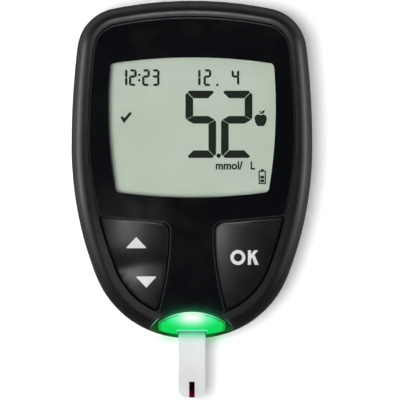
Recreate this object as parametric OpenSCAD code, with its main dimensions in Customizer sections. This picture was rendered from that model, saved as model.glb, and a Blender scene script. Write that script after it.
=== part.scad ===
// Handheld blood glucose meter with its test strip in the port.
// The meter lies on its back: +Z comes out of the face, +Y runs from the strip port to the display end.
// The origin is on the resting face, in the middle of the body's length and width.

/* [Body] */
// Width of the body at its widest
body_w = 56; // [53:0.5:62]
// Length of the body from the port end to the display end
body_l = 78.5; // [76:0.5:86]
// Height from the resting face to the highest point of the lens
body_h = 18; // [17.5:0.1:20]
// Height of the plane where the two housings meet
part_z = 9; // [8.8:0.1:9.4]
// Distance of the widest line from the middle of the length
waist_y = 5.4; // [2:0.1:8]
// Wall of both housings
wall_t = 2; // [1.7:0.1:2.3]
// Thickness of the back of the rear housing
floor_t = 1.8; // [1.5:0.1:2.1]
// Depth of the lip that centres the two housings
lip_h = 0.9; // [0.5:0.1:1.4]

/* [Outline arcs] */
// Radius of the display end
top_r = 93; // [70:1:140]
// Radius of the two upper corners
corner_r = 10.3; // [9:0.1:14]
// Radius of the sides above the widest line
upper_side_r = 195; // [140:5:300]
// Radius of the sides below the widest line
lower_side_r = 82; // [74:1:100]
// Radius of the two lower corners
haunch_r = 22.7; // [20:0.1:25]
// Radius of the port end
tip_r = 30; // [28:0.5:36]

/* [Edges] */
// Radius of the shallow dome that the whole face lies on
crown_r = 500; // [420:10:900]
// Distance of the top of that dome from the middle of the length
crown_y = 8; // [0:0.5:14]
// Width of the rounded rim, seen from the front
rim_w = 3.3; // [2.6:0.1:3.8]
// Width of the rounded edge of the back
back_edge_w = 4.5; // [3.5:0.1:5]
// Fullness of both rounded edges, where 2 is an ellipse
edge_power = 2.3; // [2:0.1:3]

/* [Face] */
// Width of the rim beside the display
face_inset = 4; // [3.9:0.1:4.6]
// Further width of the rim beside the keys
face_spread = 1; // [0:0.1:1.4]
// Depth of the lens below the rim
lens_sink = 0.35; // [0.1:0.05:0.5]
// Thickness of the clear lens
lens_t = 1.2; // [0.9:0.1:1.4]
// Thickness of the black print on the back of the lens
mask_t = 0.15; // [0.1:0.05:0.3]
// Thickness of the adhesive under the lens
glue_t = 0.1; // [0.05:0.05:0.2]
// Thickness of the deck that carries the lens
deck_t = 1.2; // [1:0.1:1.4]
// Seam between the lens and the rim
lens_seam = 0.15; // [0.1:0.05:0.3]

/* [Display] */
// Width of the display window
window_w = 38.8; // [34:0.1:39.5]
// Distance from the display end to the window
window_top = 13.3; // [12.8:0.1:15]
// Distance from the window to the line of the keys' inner corners
window_gap = 6.05; // [5:0.05:8]
// Radius of the bulge of the window's upper and lower edges
window_bow_r = 125; // [90:5:200]
// Radius of the bulge of the window's sides
window_side_r = 115; // [90:5:200]
// Radius of the window's corners
window_corner_r = 1; // [0.5:0.1:3]
// Border of the display glass around the window
glass_border = 1.4; // [1:0.1:1.6]
// Length of the contact ledge of the display glass
glass_ledge = 2.6; // [2:0.1:3]
// Thickness of each of the two display glasses
glass_t = 0.7; // [0.5:0.05:0.75]
// Thickness of each polarising film
film_t = 0.15; // [0.1:0.05:0.2]
// Thickness of the backlight plate
backlight_t = 1.4; // [1:0.1:1.5]
// Wall of the display holder
holder_t = 0.8; // [0.6:0.1:1]

/* [Keys] */
// Distance from the port end to the inner corner of the keys
key_area_l = 26.75; // [25.5:0.25:27.5]
// Distance between the two keys
key_spacing = 10.7; // [10.2:0.1:12]
// Radius of the inner edge of the keys
key_inner_r = 66; // [50:1:100]
// Distance from the port end to where that edge is nearest the middle
key_bow_l = 25.25; // [23:0.25:27]
// Slope of the upper edge of the keys, in degrees
key_slope = 5.1; // [0:0.1:8]
// Radius of the upper inner corner of the keys
key_corner_r = 1.8; // [1:0.1:3]
// Radius of the other corners of the keys
key_tip_r = 0.5; // [0.3:0.1:0.8]
// Gap around each key
key_gap = 0.3; // [0.25:0.05:0.45]
// Depth of the keys' tops below the rim
key_sink = 0.1; // [0:0.05:0.3]
// Depth of the valley across the rocker
valley_d = 0.45; // [0.2:0.05:0.6]
// Radius of that valley
valley_r = 14; // [10:1:20]
// Travel of the OK key
key_travel = 0.4; // [0.3:0.05:0.45]
// Flange of the OK key below the deck
key_flange = 0.8; // [0.5:0.1:1]
// Radius of the rocker's pivot pins
pin_r = 0.9; // [0.7:0.05:1]
// Radial play of the pivot pins in their clips
pin_play = 0.05; // [0.02:0.01:0.08]
// Width of each pivot clip along the pin
clip_w = 1.4; // [1:0.1:1.8]
// Radius of the plungers that press the domes
plunger_r = 1.2; // [0.9:0.1:1.5]
// Radius of the switch domes
dome_r = 2.1; // [1.8:0.1:2.3]
// Height of the switch domes
dome_h = 0.45; // [0.4:0.05:0.6]

/* [Strip port] */
// Distance of the surround's centre beyond the port end
surround_out = 4; // [3.9:0.05:4.1]
// Radius of the port surround
surround_r = 11.5; // [11.4:0.05:11.6]
// Wall of the port surround at the port end
surround_t = 0.8; // [0.7:0.05:0.95]
// Distance of the scoop's centre beyond the port end
scoop_out = 7.55; // [7.4:0.05:7.7]
// Radius of the scoop where it meets the face
scoop_face_r = 13.9; // [13.7:0.05:14]
// Height of the scoop's centre above the face's crown
scoop_rise = 5.65; // [5.4:0.05:5.9]
// Half the width of the light guide
guide_half = 7.85; // [7.7:0.05:8]
// Radius of the light guide's rounded ends
guide_end_r = 5; // [4.8:0.1:5.4]
// Distance of the ends' centres from the port end
guide_end_in = 3.05; // [2.9:0.05:3.2]
// Thickness of the light guide
guide_t = 1.2; // [1:0.1:1.3]
// Width of the slot for the strip
slot_w = 7.4; // [7:0.1:8]
// Height of the slot for the strip
slot_h = 1.1; // [0.9:0.1:1.2]
// Further width of the slot's mouth on each side
slot_flare = 1.1; // [0:0.1:1.5]
// Depth of the notch over the slot, in from the port end
notch_l = 1.75; // [1.6:0.05:1.8]

/* [Test strip] */
// Width of the test strip
strip_w = 6.3; // [5:0.1:6.6]
// Length of the test strip
strip_l = 27; // [25:0.5:32]
// Length of the strip that stands out of the port end
strip_out = 13.7; // [11:0.1:14.5]
// Thickness of the strip's base film
strip_base_t = 0.25; // [0.2:0.05:0.3]
// Thickness of the strip's spacer
strip_spacer_t = 0.08; // [0.06:0.02:0.12]
// Thickness of the strip's lid
strip_lid_t = 0.12; // [0.08:0.02:0.16]
// Length of the contacts that the lid leaves bare
strip_bare_l = 7.5; // [6.5:0.5:9]
// Radius of the corners at the tip
strip_tip_r = 2; // [0.5:0.1:2.5]
// Width of the sample channel
channel_w = 1.3; // [0.8:0.1:1.8]
// Length of the sample channel
channel_l = 3.7; // [2.5:0.1:5]

/* [Batteries] */
// Diameter of a coin cell
cell_d = 20; // [19.6:0.1:20]
// Thickness of a coin cell
cell_t = 3.2; // [2.5:0.1:3.2]
// Radial play of a cell in its pocket
cell_play = 0.25; // [0.15:0.05:0.3]
// Web between the two pockets
cell_web = 0.7; // [0.6:0.1:0.8]
// Wall of the pockets
pocket_t = 0.9; // [0.7:0.1:0.9]
// Height left for the contacts above the cells
contact_room = 0.8; // [0.6:0.1:0.9]
// Thickness of the bay's ceiling
ceiling_t = 1.1; // [0.9:0.1:1.2]
// Thickness of the battery cover
cover_t = 1.4; // [1.2:0.1:1.5]
// Depth of the cover below the resting face
cover_sink = 0.1; // [0.05:0.05:0.2]
// Gap around the battery cover
cover_gap = 0.15; // [0.1:0.05:0.2]
// Where the cover begins, from the middle of the length
cover_start = 1.2; // [1:0.1:1.6]
// Height of the end wall of the cover
cover_end_h = 7; // [6.8:0.1:7.2]

/* [Board and screws] */
// Thickness of the circuit board
board_t = 1; // [0.8:0.1:1.2]
// Distance of the board's edge from the body's outline
board_inset = 3; // [2.8:0.1:3.4]
// Radius of the screw shafts
screw_r = 0.8; // [0.6:0.05:0.9]
// Radius of the screw heads
head_r = 1.6; // [1.3:0.1:1.7]
// Height of the screw heads
head_h = 1.1; // [0.8:0.1:1.3]
// Length of the screw shafts
screw_l = 6; // [5:0.5:7]
// Radius of the bosses that take the screws
boss_r = 2.2; // [1.9:0.1:2.3]
// Radial play of the threads
thread_play = 0.02; // [0.01:0.01:0.05]

/* [Hidden] */

$fn = 64;
big_fn = 256;            // segments of the largest arcs and of the crown
chord_error = 0.03;      // largest gap between a body arc and its chords
past = 1;                // how far a cutting shape runs past what it cuts
bite = 0.2;              // how far a solid reaches into the one that it joins
edge_steps = 6;          // rings in a rounded edge

half_w = body_w / 2;
top_y = body_l / 2;
tip_y = -body_l / 2;
crown_h = body_h + lens_sink;

// Levels of the face, as depths below the crown
lens_low = lens_sink + lens_t;
mask_low = lens_low + mask_t;
deck_drop = mask_low + glue_t;
deck_low = deck_drop + deck_t;
rim_step = 0.03;         // how far the rounded edge ends below the dome that trims the face
window_room = 0.8;       // how far the deck and the gasket stay clear of the window
window_waist = 4.6;      // widest line of the window, from its middle towards the display end
lip_play = 0.1;          // play of the lip in its rabbet
lip_root = 0.6;          // how far the lip reaches down the wall that it stands on

// Levels of the battery bay and the board
cell_z = cover_sink + cover_t + 0.4;
ceiling_z = cell_z + cell_t + contact_room;
ceiling_top = ceiling_z + ceiling_t;
board_z = ceiling_top + 1.2;
board_top = board_z + board_t;
cell_x = cell_d / 2 + cell_play + cell_web / 2;
pocket_r = cell_d / 2 + cell_play;
cell_y = cover_start + 1.3 + pocket_r;
edge_bead = 0.65;        // width of the bead along the cover's sides
cover_half = cell_x + pocket_r + pocket_t + 0.2 + edge_bead;
cover_top = cover_sink + cover_t;
bead_top = cover_top + 0.9;
tongue_w = 0.6;          // how far the housing's tongues reach into the cover's grooves
tongue_z = [0.9, 1.5];   // lowest and highest level of the tongues
tongue_end = cell_y + pocket_r - 1;
tongue_play = 0.1;
tab_w = 8;               // width of the tab that holds the cover's inner end
tab_l = 2.6;             // length of that tab
tab_z = cover_sink + cover_t / 2;
skirt_in = cover_sink + cover_t + 0.5;
skirt_t = 0.8;
bay_y = cover_start - 1.8;

// Levels of the strip, its slot and its connector
strip_z = board_top + 1.1;
strip_t = strip_base_t + strip_spacer_t + strip_lid_t;
slot_z = strip_z - 0.3;
strip_tip_y = tip_y - strip_out;
strip_end_y = strip_tip_y + strip_l;
strip_cover_y = strip_end_y - strip_bare_l;
contact_pitch = 1.1;
connector_w = strip_w + 2.3;
connector_h = 2.7;
connector_l = strip_bare_l + 1.9;
connector_y = strip_end_y + 1.6 - connector_l;
arch_w = 16.4;

// The scoop is a sphere, placed so that it meets the face on the circle of radius scoop_face_r
scoop_y = tip_y - scoop_out;
scoop_z = crown_h + scoop_rise;
port_face_z = face_z(0, scoop_y + scoop_face_r);
scoop_r = sqrt(pow(scoop_face_r, 2) + pow(scoop_z - port_face_z, 2));
surround_y = tip_y - surround_out;
guide_end_x = guide_half - guide_end_r;
notch_half = strip_w / 2 + 0.15;

// Levels of the display, stacked down from the deck
glass_w = window_w + 2 * glass_border;
window_h = body_l - window_top - window_gap - key_area_l;
window_y = top_y - window_top - window_h / 2;
glass_top_y = window_y + window_h / 2 + glass_border;
glass_low_y = window_y - window_h / 2 - glass_border;
gasket_t = 0.2;
gasket_top = face_z(glass_w / 2, glass_top_y, deck_low) - 0.05;
film_top = gasket_top - gasket_t - 0.02;
glass_z = film_top - film_t - 2 * glass_t;
backlight_z = glass_z - film_t - backlight_t;

// Places of the keys and what is under them
key_y = tip_y + key_area_l;
key_bow_y = tip_y + key_bow_l;
pivot_y = tip_y + 18;
pivot_z = board_top + 3.4;
pivot_in_x = -key_spacing / 2 + 1.1;
pivot_out_x = -(half_w - wall_t - 6.9);
beam_w = 2.4;
up_xy = [-13.4, pivot_y + 6.6];
down_xy = [-10.9, pivot_y - 6.4];
ok_xy = [13.3, pivot_y - 0.6];
plunger_z = board_top + dome_h + 0.05;

// Screws: two under the battery cover, one under the label
bay_screws = [for (s = [-1, 1]) [s * (half_w - 8.2), glass_top_y + holder_t + boss_r + 0.25]];
label_screw = [0, glass_low_y - holder_t - boss_r - 3.6];
screw_places = concat(bay_screws, [label_screw]);
head_z = ceiling_z - head_h;
head_hole_r = head_r + 0.2;
screw_hole_r = screw_r + 0.15;

// ---------------------------------------------------------------- outline of the body

// Centre of the circle that lies at distances d1 and d2 from two points, on the left or right of their line
function meeting(c1, d1, c2, d2, side) =
    let (span = c2 - c1, d = norm(span), along = (d1 * d1 - d2 * d2 + d * d) / (2 * d),
         across = sqrt(d1 * d1 - along * along), u = span / d)
    c1 + along * u + side * across * [-u.y, u.x];

function bearing(a, b) = atan2(b.y - a.y, b.x - a.x);

top_c = [0, top_y - top_r];
tip_c = [0, tip_y + tip_r];
upper_c = [half_w - upper_side_r, waist_y];
lower_c = [half_w - lower_side_r, waist_y];
corner_c = meeting(upper_c, upper_side_r - corner_r, top_c, top_r - corner_r, 1);
haunch_c = meeting(lower_c, lower_side_r - haunch_r, tip_c, tip_r - haunch_r, -1);

// The right half of the outline as tangent arcs, from the port end to the display end: centre, radius, angles
half_arcs = [
    [tip_c, tip_r, -90, bearing(tip_c, haunch_c)],
    [haunch_c, haunch_r, bearing(tip_c, haunch_c), bearing(lower_c, haunch_c)],
    [lower_c, lower_side_r, bearing(lower_c, haunch_c), 0],
    [upper_c, upper_side_r, 0, bearing(upper_c, corner_c)],
    [corner_c, corner_r, bearing(upper_c, corner_c), bearing(top_c, corner_c)],
    [top_c, top_r, bearing(top_c, corner_c), 90]];

function arc_steps(a) = ceil(abs(a[3] - a[2]) / (2 * acos(1 - chord_error / a[1])));

// Every point of the right half as its arc's centre, radius and direction
half_rays = concat(
    [for (a = half_arcs) let (n = arc_steps(a))
        for (i = [0:n - 1]) [a[0], a[1], a[2] + (a[3] - a[2]) * i / n]],
    [[top_c, top_r, 90]]);

function ray_point(ray, inset) = ray[0] + (ray[1] - inset) * [cos(ray[2]), sin(ray[2])];

// How much wider the rim is beside the keys than beside the display, from 0 to 1
function key_share(y) = let (t = min(1, max(0, (waist_y + 4 - y) / 29))) t * t * (3 - 2 * t);

// The outline moved inwards by inset, and by spread more beside the keys
function outline_points(inset = 0, spread = 0) =
    let (right = [for (ray = half_rays) ray_point(ray, inset + spread * key_share(ray_point(ray, 0).y))],
         last = len(right) - 1)
    concat(right, [for (i = [last - 1:-1:1]) [-right[i].x, right[i].y]]);

module outline(inset = 0, spread = 0) {
    polygon(outline_points(inset, spread));
}

module slab(z, t) {
    translate([0, 0, z]) linear_extrude(height = t) children();
}

module both_sides() {
    children();
    mirror([1, 0, 0]) children();
}

// A block between two corners
module block(low, high) {
    translate(low) cube(high - low);
}

// ---------------------------------------------------------------- the dome of the face

function face_z(x, y, drop = 0) =
    crown_h - crown_r + sqrt(pow(crown_r - drop, 2) - x * x - pow(y - crown_y, 2));

module crown(drop = 0) {
    translate([0, crown_y, crown_h - crown_r]) rotate([90, 0, 0]) sphere(r = crown_r - drop, $fn = big_fn);
}

// The 2D children as a layer that follows the face, between two depths below it
module face_layer(high, low) {
    difference() {
        intersection() {
            slab(part_z, body_h) children();
            crown(high);
        }
        crown(low);
    }
}

// The 2D children as a column from a level up to a depth below the face
module face_column(z, high) {
    intersection() {
        slab(z, body_h) children();
        crown(high);
    }
}

// ---------------------------------------------------------------- rounded edges

// A closed solid through a list of rings with as many points each, from the lowest up
module skin(rings) {
    n = len(rings[0]);
    levels = len(rings);
    walls = [for (k = [0:levels - 2]) for (i = [0:n - 1])
        let (a = k * n + i, b = k * n + (i + 1) % n)
        for (face = [[a, a + n, b + n], [a, b + n, b]]) face];
    low_cap = [for (i = [0:n - 1]) i];
    high_cap = [for (i = [n - 1:-1:0]) (levels - 1) * n + i];
    polyhedron(points = [for (ring = rings) for (p = ring) p],
               faces = concat([low_cap], walls, [high_cap]), convexity = 4);
}

function edge_in(a) = 1 - pow(cos(a), 2 / edge_power);
function edge_up(a) = pow(sin(a), 2 / edge_power);

// Everything inside the front of the body: the rim's rounded edge, trimmed by the dome of the face
module front_body() {
    rim = outline_points(rim_w);
    intersection() {
        skin(concat(
            [for (k = [0:edge_steps])
                let (a = 90 * k / edge_steps, ring = outline_points(rim_w * edge_in(a)))
                [for (i = [0:len(ring) - 1])
                    [ring[i].x, ring[i].y,
                     part_z + (face_z(rim[i].x, rim[i].y) - rim_step - part_z) * edge_up(a)]]],
            [[for (p = rim) [p.x, p.y, body_h + past]]]));
        crown();
    }
}

// Everything inside the back of the body, moved in by inset and down to the level low
module rear_body(inset = 0, low = 0, top = part_z) {
    skin(concat(
        [for (k = [edge_steps:-1:0])
            let (a = 90 * k / edge_steps, z = part_z - (part_z - low) * edge_up(a))
            [for (p = outline_points(inset + back_edge_w * edge_in(a))) [p.x, p.y, z]]],
        top > part_z ? [[for (p = outline_points(inset)) [p.x, p.y, top]]] : []));
}

// ---------------------------------------------------------------- plan shapes of the face

module window_shape(grow = 0) {
    half_h = window_h / 2;
    offset(r = window_corner_r + grow) offset(delta = -window_corner_r)
        intersection_for(s = [-1, 1]) intersection() {
            translate([0, window_y + s * (half_h - window_bow_r)])
                circle(r = window_bow_r, $fn = big_fn);
            translate([s * (window_w / 2 - window_side_r), window_y + window_waist])
                circle(r = window_side_r, $fn = big_fn);
        }
}

// The corner of the face that the left key takes, running on past the rim
module key_zone(grow = 0) {
    reach = body_l;
    offset(r = key_corner_r + grow) offset(delta = -key_corner_r)
        intersection() {
            translate([-key_spacing / 2 - key_inner_r, key_bow_y]) circle(r = key_inner_r, $fn = big_fn);
            translate([-key_spacing / 2, key_y]) rotate(-key_slope)
                translate([-reach, -reach]) square([2 * reach, reach]);
        }
}

// Plan of the left key
module key_shape(grow = 0) {
    offset(r = key_tip_r + grow) offset(delta = -key_tip_r)
        difference() {
            intersection() {
                key_zone();
                outline(face_inset, face_spread);
            }
            translate([0, surround_y]) circle(r = surround_r + 2 * key_gap);
        }
}

module lens_shape(shrink = 0) {
    difference() {
        outline(face_inset + shrink, face_spread);
        both_sides() key_zone(key_gap + shrink);
        translate([0, surround_y]) circle(r = surround_r + lens_seam + shrink, $fn = big_fn);
    }
}

// ---------------------------------------------------------------- housings

module screw_axes() {
    for (p = screw_places) translate(p) children();
}

// A clip for the rocker's pin: a bored lug, open below so that the pin snaps in
module pivot_clip(x) {
    bore_r = pin_r + pin_play;
    lug_r = bore_r + 0.9;
    mouth_r = 0.8 * bore_r;
    difference() {
        face_column(pivot_z - bore_r - 0.5, deck_low - bite)
            translate([x, pivot_y - lug_r]) square([clip_w, 2 * lug_r]);
        translate([x - past, pivot_y, pivot_z]) rotate([0, 90, 0])
            cylinder(r = bore_r, h = clip_w + 2 * past);
        block([x - past, pivot_y - mouth_r, pivot_z - bore_r - past],
              [x + clip_w + past, pivot_y + mouth_r, pivot_z]);
    }
}

module front_housing() {
    color("#2b2b2d") difference() {
        union() {
            difference() {
                front_body();
                face_column(part_z - past, deck_low) outline(wall_t);
                // rabbet for the rear housing's lip
                slab(part_z - past, past + lip_h + lip_play) outline((wall_t - lip_play) / 2);
                // seat of the lens
                difference() {
                    slab(part_z + lip_h, body_h) outline(face_inset - lens_seam, face_spread);
                    crown(deck_drop);
                }
                slab(part_z, body_h) window_shape(window_room);
            }
            // rib that presses the gasket onto the display
            face_column(gasket_top, deck_low - bite) gasket_plan();
            screw_axes() face_column(ceiling_top, deck_low - bite) circle(r = boss_r);
            pivot_clip(pivot_in_x);
            pivot_clip(pivot_out_x - clip_w);
        }
        slab(part_z, body_h) both_sides() key_shape(key_gap);
        translate([0, surround_y, part_z - past])
            cylinder(r = surround_r + lens_seam, h = body_h, $fn = big_fn);
        screw_axes() translate([0, 0, ceiling_top - past])
            cylinder(r = screw_r + thread_play, h = screw_l + past);
    }
}

module screw_tower() {
    difference() {
        cylinder(r = head_hole_r + 1, h = ceiling_top);
        translate([0, 0, -past]) cylinder(r = head_hole_r, h = ceiling_z + past);
        cylinder(r = screw_hole_r, h = ceiling_top + past);
    }
}

// The part of the plan from the line y = low to the display end
module beyond(low, half = half_w) {
    translate([-half, low]) square([2 * half, body_l]);
}

module ring(outer, inner) {
    difference() {
        outline(outer);
        outline(inner);
    }
}

// Ceiling of the battery bay, with slots for the feet of the leaf springs
module bay_ceiling() {
    slot = [2.4, 1.2, 5];
    difference() {
        slab(ceiling_z, ceiling_t) difference() {
            intersection() {
                outline(wall_t - 1.5 * bite);
                beyond(bay_y);
            }
            intersection() {
                ring(0, skirt_in);
                beyond(cell_y, cover_half + cover_gap);
            }
        }
        screw_axes() translate([0, 0, ceiling_z - past])
            cylinder(r = screw_hole_r, h = ceiling_t + 2 * past);
        for (s = [-1, 1])
            translate([s * cell_x - slot.x / 2, cell_y - 5.5, ceiling_z - past]) cube(slot);
    }
}

// Wall that carries the ceiling where the battery cover takes the end wall
module bay_skirt() {
    joint_z = cover_end_h + cover_gap;
    intersection() {
        union() {
            slab(ceiling_z, part_z - ceiling_z) ring(skirt_in, skirt_in + skirt_t);
            slab(joint_z, part_z - joint_z) ring(wall_t / 2, skirt_in + skirt_t);
        }
        slab(0, body_h) beyond(cell_y + pocket_r);
    }
}

module cell_axes() {
    for (s = [-1, 1]) translate([s * cell_x, cell_y, 0]) children();
}

// Pockets of the cells, open at their outer sides for the contact tabs
module cell_pockets() {
    tab_gap = 5;
    difference() {
        slab(cell_z - 0.15, ceiling_z - cell_z + 0.3) cell_axes() circle(r = pocket_r + pocket_t);
        cell_axes() cylinder(r = pocket_r, h = ceiling_z);
        for (s = [-1, 1]) translate([s * (cell_x + pocket_r), cell_y, ceiling_z / 2])
            cube([3, tab_gap, ceiling_z], center = true);
    }
}

// Wall between the battery bay and the electronics
module bay_wall() {
    slab(floor_t - bite, ceiling_z - floor_t + 2 * bite) intersection() {
        outline(wall_t - 1.5 * bite + back_edge_w * 0.35);
        translate([-half_w, bay_y]) square([body_w, 1]);
    }
}

// Tongues along the sides of the bay's opening
module cover_tongues() {
    side = cover_half + cover_gap;
    both_sides() block([side - tongue_w, cover_start + 2, tongue_z[0]],
                       [side + 2 * bite, tongue_end, tongue_z[1]]);
}

module board_post(x, y, low) {
    translate([x, y]) slab(low - bite, board_z - low + bite) circle(r = 1.1);
}

module board_posts() {
    for (x = [-8, 8]) {
        board_post(x, pivot_y - 5, floor_t);
        board_post(x, top_y - 5.5, ceiling_top);
    }
}

module rear_housing() {
    side = cover_half + cover_gap;
    tab_room_x = tab_w / 2 + 0.3;
    tab_room_y = cover_start - tab_l - 0.3;
    tab_room_z = tab_z - tongue_play;
    color("#242426") difference() {
        union() {
            difference() {
                rear_body();
                rear_body(wall_t, floor_t, part_z + past);
                block([-side, cover_start - cover_gap, -past], [side, body_l, cover_end_h + cover_gap]);
            }
            bay_ceiling();
            bay_skirt();
            cell_pockets();
            bay_wall();
            cover_tongues();
            // lip that centres the front housing
            slab(part_z - lip_root, lip_h + lip_root) ring((wall_t + lip_play) / 2, wall_t - bite / 2);
            translate(label_screw) screw_tower();
            board_posts();
        }
        translate([0, surround_y, part_z]) cylinder(r = surround_r + lens_seam, h = body_h, $fn = big_fn);
        translate([label_screw.x, label_screw.y, -past]) cylinder(r = head_hole_r, h = ceiling_z + past);
        // room for the cover's tab
        block([-tab_room_x, tab_room_y, tab_room_z], [tab_room_x, cover_start + past, cover_top + cover_gap]);
        block([-tab_room_x, tab_room_y, tab_room_z], [tab_room_x, bay_y, floor_t + past]);
        label_recess();
    }
}

// ---------------------------------------------------------------- face parts

module window_lens() {
    color("#101114") face_layer(lens_sink, lens_low) lens_shape();
}

module window_mask() {
    color("black") face_layer(lens_low + 0.01, mask_low) difference() {
        lens_shape(0.1);
        window_shape();
    }
}

// Plan of the opening that the light guide fills
module scoop_plan(shrink = 0) {
    intersection() {
        outline(surround_t + shrink);
        translate([0, scoop_y]) circle(r = scoop_face_r - shrink, $fn = big_fn);
        translate([0, tip_y + guide_end_in]) {
            for (s = [-1, 1])
                translate([s * guide_end_x, 0]) circle(r = guide_end_r - shrink, $fn = big_fn);
            square([2 * guide_end_x, 2 * guide_end_r - 0.4], center = true);
        }
    }
}

module scoop(grow = 0) {
    translate([0, scoop_y, scoop_z]) rotate([90, 0, 0]) sphere(r = scoop_r + grow, $fn = big_fn);
}

// Way of the strip through the port, wider at its mouth
module strip_way(low = slot_z) {
    mouth = slot_w / 2 + slot_flare;
    slab(low, slot_z + slot_h - low) polygon([
        [-mouth, tip_y - past], [mouth, tip_y - past], [slot_w / 2, tip_y + 1.9],
        [slot_w / 2, tip_y + 12], [-slot_w / 2, tip_y + 12], [-slot_w / 2, tip_y + 1.9]]);
}

// Notch that opens the slot upwards at the port end, so that the strip's root shows
module slot_notch() {
    block([-notch_half, tip_y - past, strip_z + 0.1], [notch_half, tip_y + notch_l, crown_h]);
}

module port_surround() {
    color("#15181a") difference() {
        intersection() {
            front_body();
            translate([0, surround_y, part_z]) cylinder(r = surround_r, h = body_h, $fn = big_fn);
        }
        scoop();
        slab(part_z - past, body_h) scoop_plan();
        strip_way();
        slot_notch();
        // arch over the connector and the lamps
        slab(part_z - past, board_top + connector_h + 0.3 - part_z + past) intersection() {
            outline(board_inset);
            translate([-arch_w / 2, tip_y]) square([arch_w, body_l]);
        }
    }
}

module port_light_guide() {
    color("#e8f5ec") difference() {
        intersection() {
            face_column(part_z + 0.1, 0.02) scoop_plan(0.05);
            scoop(guide_t);
        }
        scoop();
        strip_way(part_z - past);
        slot_notch();
    }
}

module port_leds() {
    color("#f2e9a8") for (s = [-1, 1])
        translate([s * 5.7 - 0.8, tip_y + 4.2, board_top]) cube([1.6, 0.8, 0.7]);
}

// ---------------------------------------------------------------- display

module display_rect(grow = 0, low = glass_low_y) {
    translate([-glass_w / 2 - grow, low - grow]) square([glass_w + 2 * grow, glass_top_y - low + 2 * grow]);
}

module gasket_plan() {
    difference() {
        display_rect();
        window_shape(window_room);
    }
}

module display_gasket() {
    color("#3c3c40") slab(gasket_top - gasket_t, gasket_t) gasket_plan();
}

module display_films() {
    color("#c9d6c6") {
        slab(film_top - film_t, film_t) display_rect(-0.3);
        slab(glass_z - film_t, film_t) display_rect(-0.3, glass_low_y + glass_ledge);
    }
}

module display_glass() {
    color("#b9ccb6") {
        slab(glass_z, glass_t - 0.01) display_rect(0, glass_low_y + glass_ledge);
        slab(glass_z + glass_t, glass_t) display_rect();
    }
}

module display_holder() {
    color("#e9e9e6") difference() {
        slab(board_top, film_top - board_top - 0.3) display_rect(holder_t + 0.1);
        slab(board_top - past, body_h) display_rect(0.1);
    }
}

module display_backlight() {
    color("#f4f6f2") slab(backlight_z, backlight_t) display_rect(-0.4, glass_low_y + glass_ledge + 0.2);
}

module display_connector() {
    color("#c97a8c") slab(board_top, glass_z + glass_t - board_top)
        translate([-glass_w / 2 + 1.5, glass_low_y + 0.3]) square([glass_w - 3, glass_ledge - 0.8]);
}

// ---------------------------------------------------------------- board and what it carries

module circuit_board() {
    boss_room = boss_r + 0.3;
    color("#1f6b3a") slab(board_z, board_t) difference() {
        outline(board_inset);
        translate(label_screw) circle(r = boss_room);
        // notches that run out at the corners
        for (p = bay_screws) translate(p) {
            circle(r = boss_room);
            rotate(bearing(p, [sign(p.x) * half_w, top_y]))
                translate([0, -boss_room]) square([half_w, 2 * boss_room]);
        }
    }
}

// A chip with its legs on two sides, standing on the board
module chip(x, y, w, l, h, legs) {
    translate([x, y, board_top]) {
        translate([-w / 2, -l / 2, 0.05]) cube([w, l, h]);
        for (s = [-1, 1], i = [0:legs - 1])
            translate([s * (w / 2 + 0.3) - 0.4, (i - (legs - 1) / 2) * 0.65 - 0.15, 0])
                cube([0.8, 0.3, 0.25]);
    }
}

module processor() {
    color("#2a2a2e") chip(-6, window_y - 2, 7, 7, 0.9, 10);
}

module radio_module() {
    color("#c8ccd0") {
        translate([6, window_y - 6, board_top]) cube([8, 9, 1.2]);
        translate([6, window_y + 3.2, board_top]) cube([8, 2.6, 0.4]);
    }
}

module quartz_crystal() {
    color("#d5d6da") translate([-15, window_y + 4, board_top]) {
        hull() for (s = [-1, 1]) translate([0, s * 1.2, 0]) cylinder(r = 1, h = 1, $fn = 32);
    }
}

module chip_components() {
    color("#b48a5a") {
        for (i = [0:7])
            translate([-10 + i * 2.6, window_y + 7.5 + (i % 2) * 1.6, board_top]) cube([1, 0.6, 0.5]);
        for (i = [0:4]) translate([7 + i * 1.9, pivot_y + 6 + (i % 3) * 0.9, board_top]) cube([0.6, 1, 0.5]);
        for (i = [0:4]) translate([-17, window_y - 10 + i * 2.2, board_top]) cube([1.6, 0.8, 0.8]);
    }
}

module buzzer() {
    color("#333336") translate([9, pivot_y + 6, board_z - 2.6]) difference() {
        cylinder(r = 4.5, h = 2.6);
        translate([0, 0, -past]) cylinder(r = 0.8, h = past + 0.8);
    }
}

// ---------------------------------------------------------------- strip connector

module strip_connector() {
    slot_in = strip_w / 2 + 0.15;
    color("#e6dfcf") difference() {
        translate([-connector_w / 2, connector_y, board_top]) cube([connector_w, connector_l, connector_h]);
        // channel of the strip
        block([-slot_in, connector_y - past, strip_z - 0.1],
              [slot_in, strip_end_y + 0.1, strip_z + strip_t + 0.15]);
        // windows of the contact springs
        for (i = [-2:2])
            block([i * contact_pitch - 0.35, strip_end_y - 6.4, strip_z + 0.2],
                  [i * contact_pitch + 0.35, strip_end_y - 0.6, board_top + connector_h + past]);
    }
}

// Five leaf springs that bear on the strip's bare contacts
module strip_contacts() {
    spring_t = 0.15;
    rest_z = strip_z + strip_base_t + 0.13;
    high_z = board_top + connector_h - spring_t;
    tail_z = high_z - 0.5;
    color("#d9b45a") for (i = [-2:2])
        translate([i * contact_pitch - 0.2, strip_end_y, 0]) rotate([90, 0, 90]) linear_extrude(height = 0.4)
            polygon([[-0.7, high_z + spring_t], [-0.7, high_z], [-3.4, rest_z],
                     [-5, tail_z], [-5, tail_z + spring_t], [-3.4, rest_z + spring_t]]);
}

// ---------------------------------------------------------------- keys

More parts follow.
